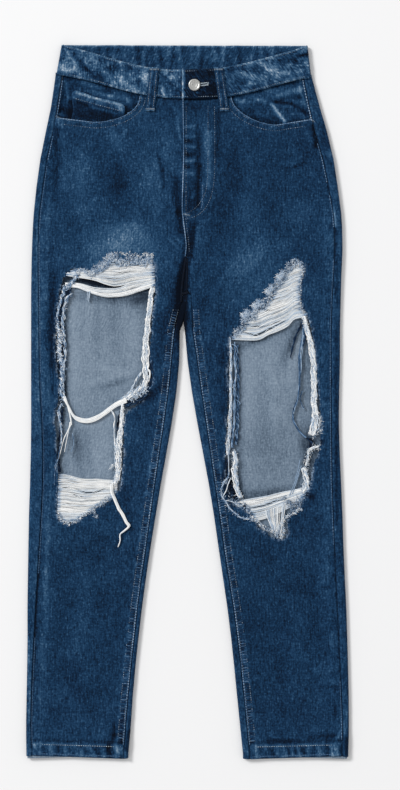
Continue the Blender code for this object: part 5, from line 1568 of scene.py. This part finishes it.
fray += braid(LEFT, THICK_EDGE, 12, WHITE, 345, lift=-0.1, radius=0.8, matted=3.5)
fray += braid(LEFT, LOOP, 4, PALE + WHITE[:2], 346, lift=0.5, period=14, radius=0.6)
fray += braid(LEFT, [(x, up, 4.5) for x, up, width in LOOP[2:]], 4, BLUES, 354, lift=0.1, period=12,
              radius=0.6)
fray += curls(LEFT, LOOP[2:], 1.3, 3.4, PALE + BLUES, 355, scatter=2.6, lift=0.3, radius=0.34)
fray += braid(LEFT, [(60, 394, 1), (56, 384, 1), (53, 375, 1), (49, 368, 1)], 2, PALE, 347, lift=0.3)
fray += braid(LEFT, [(52, 362, 1), (61, 361, 2), (70, 355, 3), (79, 357, 4)], 3, PALE, 353, lift=0.3)
fray += braid(LEFT, [(62, 581, 1), (68, 577, 1), (70, 568, 1)], 1, PALE, 348, lift=0.2)
fray += curls(LEFT, LEFT_EDGE, 1, 2.6, PALE + WHITE, 349, scatter=1.6)
fray += curls(LEFT, LEFT_EDGE[5:], 2.5, 3, WHITE, 350, scatter=2.6)
fray += curls(LEFT, THICK_EDGE, 3.6, 3.6, WHITE + PALE, 351, scatter=4, lift=0.2)
fray += curls(LEFT, [(60, 366), (68, 362), (78, 355), (88, 345)], 2.2, 4, PALE + BLUES, 352, scatter=4,
              radius=0.36)
fray_left_inner = twist_yarns("frayed_edge_left_inner", fray, "fray", "left_fray_inner")

LEFT_OUTER = [
    (162, 620, 4), (167, 600, 7), (172, 580, 8), (175, 560, 9), (176, 540, 9), (176, 515, 9), (177, 492, 9),
    (178, 478, 12), (177, 464, 14), (172, 454, 10),
]
fray = braid(LEFT, [(168, 450, 10), (173, 441, 12), (167, 424, 10), (163, 400, 9)], 9, SHADE_NAVY + [0.3], 361,
             lift=-1.6, radius=0.9)
fray += braid(LEFT, LEFT_OUTER, 16, WHITE, 362, lift=-0.1, period=30, radius=0.8, matted=3.5)
fray += braid(LEFT, [(184, 437, 5), (176, 436, 5), (169, 431, 4), (168, 421, 3), (165, 410, 3)], 6, WHITE,
              363, radius=0.6, matted=4)
fray += braid(LEFT, [(161, 408, 6), (165, 396, 10), (165, 384, 11), (161, 373, 8)], 13, WHITE, 364,
              radius=0.75, matted=3.5)
fray += curls(LEFT, LEFT_OUTER, 2.4, 2.4, WHITE, 365, lean=80, spread=70, scatter=3, lift=0.3, radius=0.38)
fray += curls(LEFT, LEFT_OUTER, 2.4, 2.4, WHITE, 366, lean=260, spread=70, scatter=3, lift=0.3, radius=0.38)
fray += curls(LEFT, [(184, 481), (186, 470), (184, 460), (176, 452)], 3, 4, WHITE + PALE, 367, scatter=3)
fray += curls(LEFT, [(183, 438), (171, 431), (165, 410), (165, 385), (160, 374)], 2.6, 3.8, WHITE + PALE,
              368, scatter=4)
for ends in ([(159, 411), (153, 396), (147, 381), (142, 369)], [(156, 400), (151, 386), (146, 371)],
             [(157, 420), (154, 405), (150, 392)]):
    fray.append(Yarn(lay(LEFT, smooth_line(ends, 3), 0.1), 0.6, 0.56))
fray_left_outer = twist_yarns("frayed_edge_left_outer", fray, "fray", "left_fray_outer")

ROLL = [
    (161, 612, 6), (162, 596, 7), (160, 580, 7), (157, 562, 6), (157, 542, 5), (156, 522, 5), (153, 504, 4),
    (148, 490, 3.5), (147, 478, 3.5), (151, 468, 3), (158, 457, 3), (166, 450, 3),
]
fray = braid(LEFT, ROLL, 10, [0.24, 0.32, 0.4, 0.52], 371, lift=-0.4, period=90, radius=0.75, matted=30)
fray += braid(LEFT, [(160, 516, 2), (157, 504, 3), (162, 490, 3)], 3, [0.3, 0.45], 372, lift=-0.4,
              period=60, matted=20)
fray += braid(LEFT, [(160, 612, 3), (155, 600, 4), (150, 589, 4), (146, 574, 3), (143, 561, 2)], 4,
              [0.12, 0.2], 373, lift=-1.4, radius=0.7, matted=20)
fray_left_roll = twist_yarns("rolled_strip_left", fray, "fray", "left_fray_roll")

# Short ends all along the torn edges, longest above the weft bands.
TOP_ENDS = [(-134, 682), (-127, 691), (-119, 695), (-112, 704), (-104, 706), (-99, 699), (-88, 698),
            (-78, 700), (-66, 700), (-60, 698), (-54, 705)]
FOOT_ENDS = [(-181, 344), (-176, 336), (-167, 331), (-158, 333), (-148, 342), (-136, 349), (-122, 360),
             (-112, 369)]
WEDGE_ENDS = [
    (66, 598), (75, 606), (79, 621), (82, 628), (88, 622), (95, 636), (101, 642), (106, 638), (113, 650),
    (118, 662), (130, 674), (136, 686), (145, 695), (152, 699), (160, 688),
]
TIP_ENDS = [(88, 342), (96, 334), (105, 327), (113, 322), (120, 320), (128, 312), (133, 318), (131, 334),
            (143, 343), (158, 352)]
right_ends = curls(RIGHT, RIGHT_TORN.tolist(), 0.18, 1.8, BLUES[:3], 381, spread=90, scatter=0.8, lift=0.1,
                   radius=0.22)
right_ends += curls(RIGHT, TOP_ENDS, 2.6, 4.2, PALE, 382, spread=70, scatter=2.2, lift=0.2, radius=0.42)
right_ends += curls(RIGHT, [(-109, 702), (-105, 707), (-54, 705), (-51, 703)], 1.6, 4, PALE + WHITE, 385,
                    lean=60, spread=100, scatter=2.6, lift=0.2, radius=0.42)
right_ends += curls(RIGHT, FOOT_ENDS, 2.4, 4, PALE + WHITE, 383, lean=-90, spread=60, scatter=2.2, lift=0.2,
                    radius=0.4)
right_ends += curls(RIGHT, [(-134, 350), (-131, 343), (-127, 338)], 5, 3.5, PALE, 384, lean=0, spread=120,
                    scatter=2, lift=0.3)
right_ends += curls(RIGHT, [(x, up - 6) for x, up in TOP_ENDS], 3, 5.2, PALE + WHITE[:2], 387, spread=60,
                    scatter=3.2, lift=0.3, radius=0.44)
for lobe in ([(-118, 688), (-110, 694), (-106, 702)], [(-128, 681), (-121, 686)], [(-75, 694), (-70, 698)],
             [(-56, 696), (-52, 704)]):
    right_ends += curls(RIGHT, lobe, 5, 4.6, PALE + BLUES[2:], 386, spread=120, scatter=3.6, lift=0.2,
                        radius=0.44)
torn_ends_right = twist_yarns("torn_ends_right", right_ends, "fray", sides=3)
left_ends = curls(LEFT, LEFT_TORN.tolist(), 0.18, 1.8, BLUES[:3], 391, spread=90, scatter=0.8, lift=0.1,
                  radius=0.22)
left_ends += curls(LEFT, WEDGE_ENDS, 1.7, 4.2, PALE, 392, spread=75, scatter=2.2, lift=0.2, radius=0.42)
left_ends += curls(LEFT, [(161, 683), (158, 665), (157, 640), (160, 628), (165, 625)], 1.6, 3, PALE + WHITE,
                   395, scatter=1.4, lift=0.2, radius=0.38)
left_ends += curls(LEFT, TIP_ENDS, 2.4, 4.4, PALE + WHITE, 393, lean=-90, spread=60, scatter=2.2, lift=0.2,
                   radius=0.42)
left_ends += curls(LEFT, [(136, 364), (143, 357), (151, 352), (156, 364)], 6, 5, BLUES + PALE, 394, lean=0,
                   scatter=5, lift=0.2)
left_ends += curls(LEFT, [(x + 3, up - 6) for x, up in WEDGE_ENDS], 1.9, 5.2, PALE + WHITE[:2], 397,
                   spread=60, scatter=3.2, lift=0.3, radius=0.44)
for lobe in ([(80, 612), (82, 620), (83, 627)], [(93, 624), (97, 632), (100, 640)],
             [(113, 652), (118, 660)], [(126, 668), (131, 676)]):
    left_ends += curls(LEFT, lobe, 5, 4.6, PALE + BLUES[2:], 396, spread=120, scatter=3.6, lift=0.2,
                       radius=0.44)
for lobe in ([(78, 617), (84, 622)], [(94, 630), (101, 636)], [(113, 650), (119, 658)],
             [(129, 671), (134, 678)]):
    left_ends += curls(LEFT, lobe, 9, 9, PALE + WHITE[:2], 398, lean=85, spread=35, scatter=1.5, lift=0.4,
                       radius=0.46)
torn_ends_left = twist_yarns("torn_ends_left", left_ends, "fray", sides=3)


# ---------------- seam stitches
# Topstitching in faded brown and grey-blue thread: double rows on the inseams, pockets and
# fly, single rows on the hems and waistband, and packed bar tacks where it is strained.
SEAM_THREAD = yarn_finish("seam_thread", [
    (0, srgb(26, 38, 54)), (0.35, srgb(70, 84, 100)), (0.6, srgb(116, 134, 152)), (1, srgb(192, 204, 214)),
])
STITCH = 2.4
STITCH_PITCH = 3.2
# Heights between which the outseam's edge is rubbed, and how pale it has gone.
OUTSEAM_RUBS = {
    "right": [(540, 725, 0.54), (735, 830, 0.48), (838, 872, 0.60), (895, 950, 0.52), (20, 170, 0.46),
              (260, 530, 0.40)],
    "left": [(300, 700, 0.50), (745, 790, 0.58), (808, 862, 0.58), (893, 950, 0.72), (28, 110, 0.50)],
}


def row_of(line, pitch=STITCH_PITCH):
    """Middle and direction of every stitch along x, up, z points."""
    along = run_along(line)
    spots = np.arange(pitch / 2, along[-1], pitch)

    def at(step):
        return np.column_stack([np.interp(spots + step, along, line[:, k]) for k in range(3)])

    return at(0), at(0.5) - at(-0.5)


def stitches(name, rows, size, tone, finish=SEAM_THREAD):
    """All the stitches of one seam, joined from one small rounded shape."""
    bm = bmesh.new()
    bmesh.ops.create_icosphere(bm, subdivisions=1, radius=0.5)
    corners = np.array([vertex.co[:] for vertex in bm.verts])
    sides = np.array([[vertex.index for vertex in face.verts] for face in bm.faces])
    bm.free()
    chance = np.random.default_rng(len(name))
    middles, ways = (np.concatenate(part) for part in zip(*rows))
    ways = ways / np.linalg.norm(ways, axis=1, keepdims=True)
    asides = np.column_stack([leftward(ways), np.zeros(len(ways))])
    overs = np.cross(ways, asides)
    length, width, depth = size
    stretch = chance.uniform(0.85, 1.15, (len(middles), 1, 1))
    points = middles[:, None, :] + corners[None, :, 0:1] * ways[:, None, :] * length * stretch
    points += corners[None, :, 1:2] * asides[:, None, :] * width
    points += corners[None, :, 2:3] * overs[:, None, :] * depth
    faces = sides[None, :, :] + (np.arange(len(middles)) * len(corners))[:, None, None]
    tones = np.repeat(tone + chance.uniform(-0.2, 0.2, len(middles)), len(corners))
    return thread_piece(name, points.reshape(-1, 3), faces.reshape(-1, 3).tolist(), tones, finish, "weft")


def beside(line, gap):
    """A line moved aside, to the left of its direction when the gap is positive."""
    points = smooth_line(line, 3)[:, :2]
    return points + gap * leftward(directions(points))


def turned_across(row):
    """The same spots, with their direction turned to lie across the row."""
    middle, way = row
    return middle, np.column_stack([leftward(way), way[:, 2]])


def rubbed(side, line, radius, pale, seed, lift=0, even=0):
    """The rubbed ridge of a seam: a fine cord, pale at each small pucker."""
    points = smooth_line(line, 1.2)[:, :2]
    along = run_along(points)
    dots = 0.5 + 0.5 * np.sin(2 * np.pi * along / 3.8 + 2.5 * ripple(along, 15, seed))
    dots = mix(dots, 1, even) * (0.75 + 0.3 * ripple(along, 30, seed + 1))
    return Yarn(lay(side, points, lift), radius * (0.8 + 0.3 * dots), mix(0.27, pale, dots))


SMALL = (STITCH, 0.95, 0.6)
sewn = {"right": [], "left": []}
for side in (RIGHT, LEFT):
    pieces = sewn[side.name]
    heights = np.arange(24, 632, 3)
    rows = []
    for gap in (2, 9):
        x = across(side, "inner", heights) + side.sign * gap
        rows.append(row_of(lay(side, np.column_stack([x, hem_slant(side, 1, heights)]), 0.25)))
    pieces.append(stitches("inseam_stitches_" + side.name, rows, SMALL, 0.6))
    x = across(side, "inner", heights) + side.sign * 5.5
    puckers = turned_across(row_of(lay(side, np.column_stack([x, hem_slant(side, 1, heights)]), 0.3),
                                   pitch=3.8))
    pieces.append(stitches("inseam_puckers_" + side.name, [puckers], (8, 1.5, 1.1), 0.25, YARN))
    edges = []
    heights = np.arange(20, 612, 8)
    x = across(side, "inner", heights) + side.sign * 0.9
    edges.append(rubbed(side, list(zip(x, heights)), 0.9, 0.62, 401 + len(pieces), lift=0.3))
    for low, high, pale in OUTSEAM_RUBS[side.name]:
        heights = np.linspace(low, high, int((high - low) / 9) + 4)
        x = across(side, "outseam", heights) - side.sign * 1.2
        edges.append(rubbed(side, list(zip(x, heights)), 0.8, pale, 411 + low, lift=0.1))
    opening = RIGHT_OPENING if side is RIGHT else LEFT_OPENING
    down = -side.sign
    line = [point for point in opening_edge(opening) if abs(point[0]) < 186]
    edges.append(rubbed(side, beside(line, 0.7 * down).tolist()[::3], 0.8, 0.55, 421, lift=0.2, even=0.5))
    width = np.linspace(0.03, 0.97, 40)
    x = mix(across(side, "outseam", 3), across(side, "inner", 3), width)
    edges.append(rubbed(side, list(zip(x, hem_slant(side, width, 3.5))), 0.9, 0.5, 431, lift=-0.4))
    pieces.append(twist_yarns("rubbed_edges_" + side.name, edges, "denim"))
    x = mix(across(side, "outseam", HEM_HEIGHT), across(side, "inner", HEM_HEIGHT), width)
    up = hem_slant(side, width, HEM_HEIGHT)
    hem_row = row_of(lay(side, np.column_stack([x, up]), -0.15))
    pieces.append(stitches("hem_stitches_" + side.name, [hem_row], SMALL, 0.8))
    rows = [row_of(lay(side, beside(line, down * gap), -0.05)) for gap in (2.4, 8.4)]
    pieces.append(stitches("pocket_stitches_" + side.name, rows, SMALL, 0.5))
coin_rows = []
for drop in (1.5, 8.5):
    line = smooth_line([(-158, 933.5 - drop), (-126, 924.5 - drop), (-92, 915.5 - drop)], 3)[:, :2]
    coin_rows.append(row_of(np.column_stack([line, tucked(RIGHT, COIN_DROP, line[:, 0], line[:, 1]) + 0.3])))
stitches("coin_pocket_stitches", coin_rows, SMALL, 0.6)

FLY_ROWS = [
    [(28, 915), (28, 860), (27.5, 820), (25, 796), (17, 779), (6, 768), (-5, 763)],
    [(37, 914), (37.5, 860), (37, 818), (33, 790), (24, 771), (11, 760), (-4, 756)],
    [(-2.5, 914), (-2.5, 860), (-2.5, 760), (0.5, 730), (2, 708)],
]
rows = [row_of(lay(LEFT, smooth_line(line, 3), 0.15)) for line in FLY_ROWS]
sewn["left"].append(stitches("fly_stitches", rows, SMALL, 0.42))
fly_edge = [(-7, 924), (-6.5, 890), (-6, 850), (-7, 810), (-8, 775), (-6.5, 755), (-4, 735), (-2.5, 718),
            (-4, 704)]
edges = [rubbed(LEFT, fly_edge, 0.9, 0.58, 441, lift=0.5, even=0.6)]
# Near-black cords laid in the crotch hollow below the fly stand in for its shade; the last covers the laps'
# ends where they meet.
FLY_SHADE_CORDS = [
    ([(-3, 702), (-5, 688), (-7.5, 670), (-9, 655), (-9.5, 640)], -0.4, 2),
    ([(-1, 700), (-1.5, 678), (-2.5, 640)], -0.4, 1.5), ([(-9, 652), (-4, 652), (1, 654)], 0.3, 2),
]
edges += [Yarn(lay(LEFT, smooth_line(line, 3), lift), radius, 0) for line, lift, radius in FLY_SHADE_CORDS]
edges.append(rubbed(LEFT, [(20.5, 804), (20.5, 780), (18, 769)], 0.6, 0.5, 451, lift=0.2))
sewn["left"].append(twist_yarns("rubbed_fly_edge", edges, "denim"))

band_rows = []
for start, end in ((-173, FLY_EDGE_X - 3), (FLY_EDGE_X + 3, 163)):
    x = np.linspace(start, end, 60)
    lift = BAND_TOP + 0.15 + (x > FLY_EDGE_X) * band_lift(x)
    band_rows.append(row_of(np.column_stack([x, band_low(x) + 2.6, lift - 0.2])))
    band_rows.append(row_of(np.column_stack([x, band_top(x) - 2.4, lift - 0.3])))
stitches("waistband_stitches", band_rows, SMALL, 0.55)


def bar_tack(surface, start, end, count):
    """A short packed zigzag between two points."""
    line = np.linspace(start, end, count)
    sideways = leftward(directions(line))
    return np.column_stack([line, surface(*line.T) + 0.2]), np.column_stack([sideways, np.zeros(count)])


tack_rows = []
for side, loop in ((RIGHT, RIGHT_LOOP), (LEFT, LEFT_LOOP)):
    surface = loop_surface(side)
    top, foot = (np.array(end) for end in loop)
    for end, rise, count in ((foot, 3, 15), (top, -3, 13)):
        tack_rows.append(bar_tack(surface, end + (-5.6, rise), end + (5.6, rise), count))
    for aside in (-3.9, 3.9):
        line = mix(foot, top, np.linspace(0.1, 0.9, 30)[:, None]) + (aside, 0)
        tack_rows.append(row_of(np.column_stack([line, surface(*line.T) - 0.05])))
tack_rows.append(bar_tack(lambda x, up: level(LEFT, x, up), (-6.5, 763), (2.5, 761), 11))
tack_rows.append(bar_tack(lambda x, up: level(LEFT, x, up), (170, 897), (179, 891), 10))
tack_rows.append(bar_tack(lambda x, up: level(RIGHT, x, up), (-185, 900), (-177, 896), 9))
stitches("bar_tacks", tack_rows, (3, 0.7, 0.5), 0.6)
buttonhole = [(17.5, 943.5), (22, 944), (27, 944.7)]
hole_rows = []
for gap in (-1.5, 1.5):
    line = beside(buttonhole, gap)
    z = np.full(len(line), BAND_TOP + BAND_WALL + 0.5)
    hole_rows.append(turned_across(row_of(np.column_stack([line, z]), pitch=0.8)))
hole_rows.append(bar_tack(lambda x, up: x * 0 + BAND_TOP + BAND_WALL + 0.3, (27.8, 943), (28.2, 946.8), 6))
stitches("buttonhole_stitches", hole_rows, (2.2, 0.7, 0.6), 0.95)


# ---------------- studio
# A plain pale table seen from straight above, under a large soft light from the upper left.
def flat_finish(name, colour, roughness):
    finish, tree, shader = new_finish(name)
    shader.inputs["Base Color"].default_value = colour
    shader.inputs["Roughness"].default_value = roughness
    shader.inputs["Specular IOR Level"].default_value = 0.1
    return finish


bm = bmesh.new()
bmesh.ops.create_grid(bm, x_segments=1, y_segments=1, size=6.0)
table_mesh = bpy.data.meshes.new("floor")
bm.to_mesh(table_mesh)
bm.free()
table_mesh.materials.append(flat_finish("pale_table", (0.885, 0.88, 0.88, 1), 0.9))
floor = bpy.data.objects.new("floor", table_mesh)
floor.location.z = -0.0002
bpy.context.scene.collection.objects.link(floor)

world = bpy.data.worlds.new("soft_room")
world.use_nodes = True
world.node_tree.nodes["Background"].inputs["Color"].default_value = (0.98, 0.99, 1, 1)
world.node_tree.nodes["Background"].inputs["Strength"].default_value = 0.62
bpy.context.scene.world = world


def soft_light(name, position, size, power):
    lamp = bpy.data.lights.new(name, "AREA")
    lamp.shape = "DISK"
    lamp.size = size
    lamp.energy = power
    holder = bpy.data.objects.new(name, lamp)
    holder.location = position
    holder.rotation_mode = "QUATERNION"
    aim = -holder.location
    holder.rotation_quaternion = aim.to_track_quat("-Z", "Y")
    bpy.context.scene.collection.objects.link(holder)


soft_light("window_light", (-8.8, 6.2, 8.4), 4, 1330)

camera = bpy.data.cameras.new("camera")
camera.lens = 85
camera.sensor_width = 36
view = bpy.data.objects.new("camera", camera)
FRAME_HEIGHT = 1.106
view.location = (0.0176, 0.0098, FRAME_HEIGHT * camera.lens / camera.sensor_width + 0.006)
bpy.context.scene.collection.objects.link(view)
bpy.context.scene.camera = view
bpy.context.scene.view_settings.view_transform = "Standard"
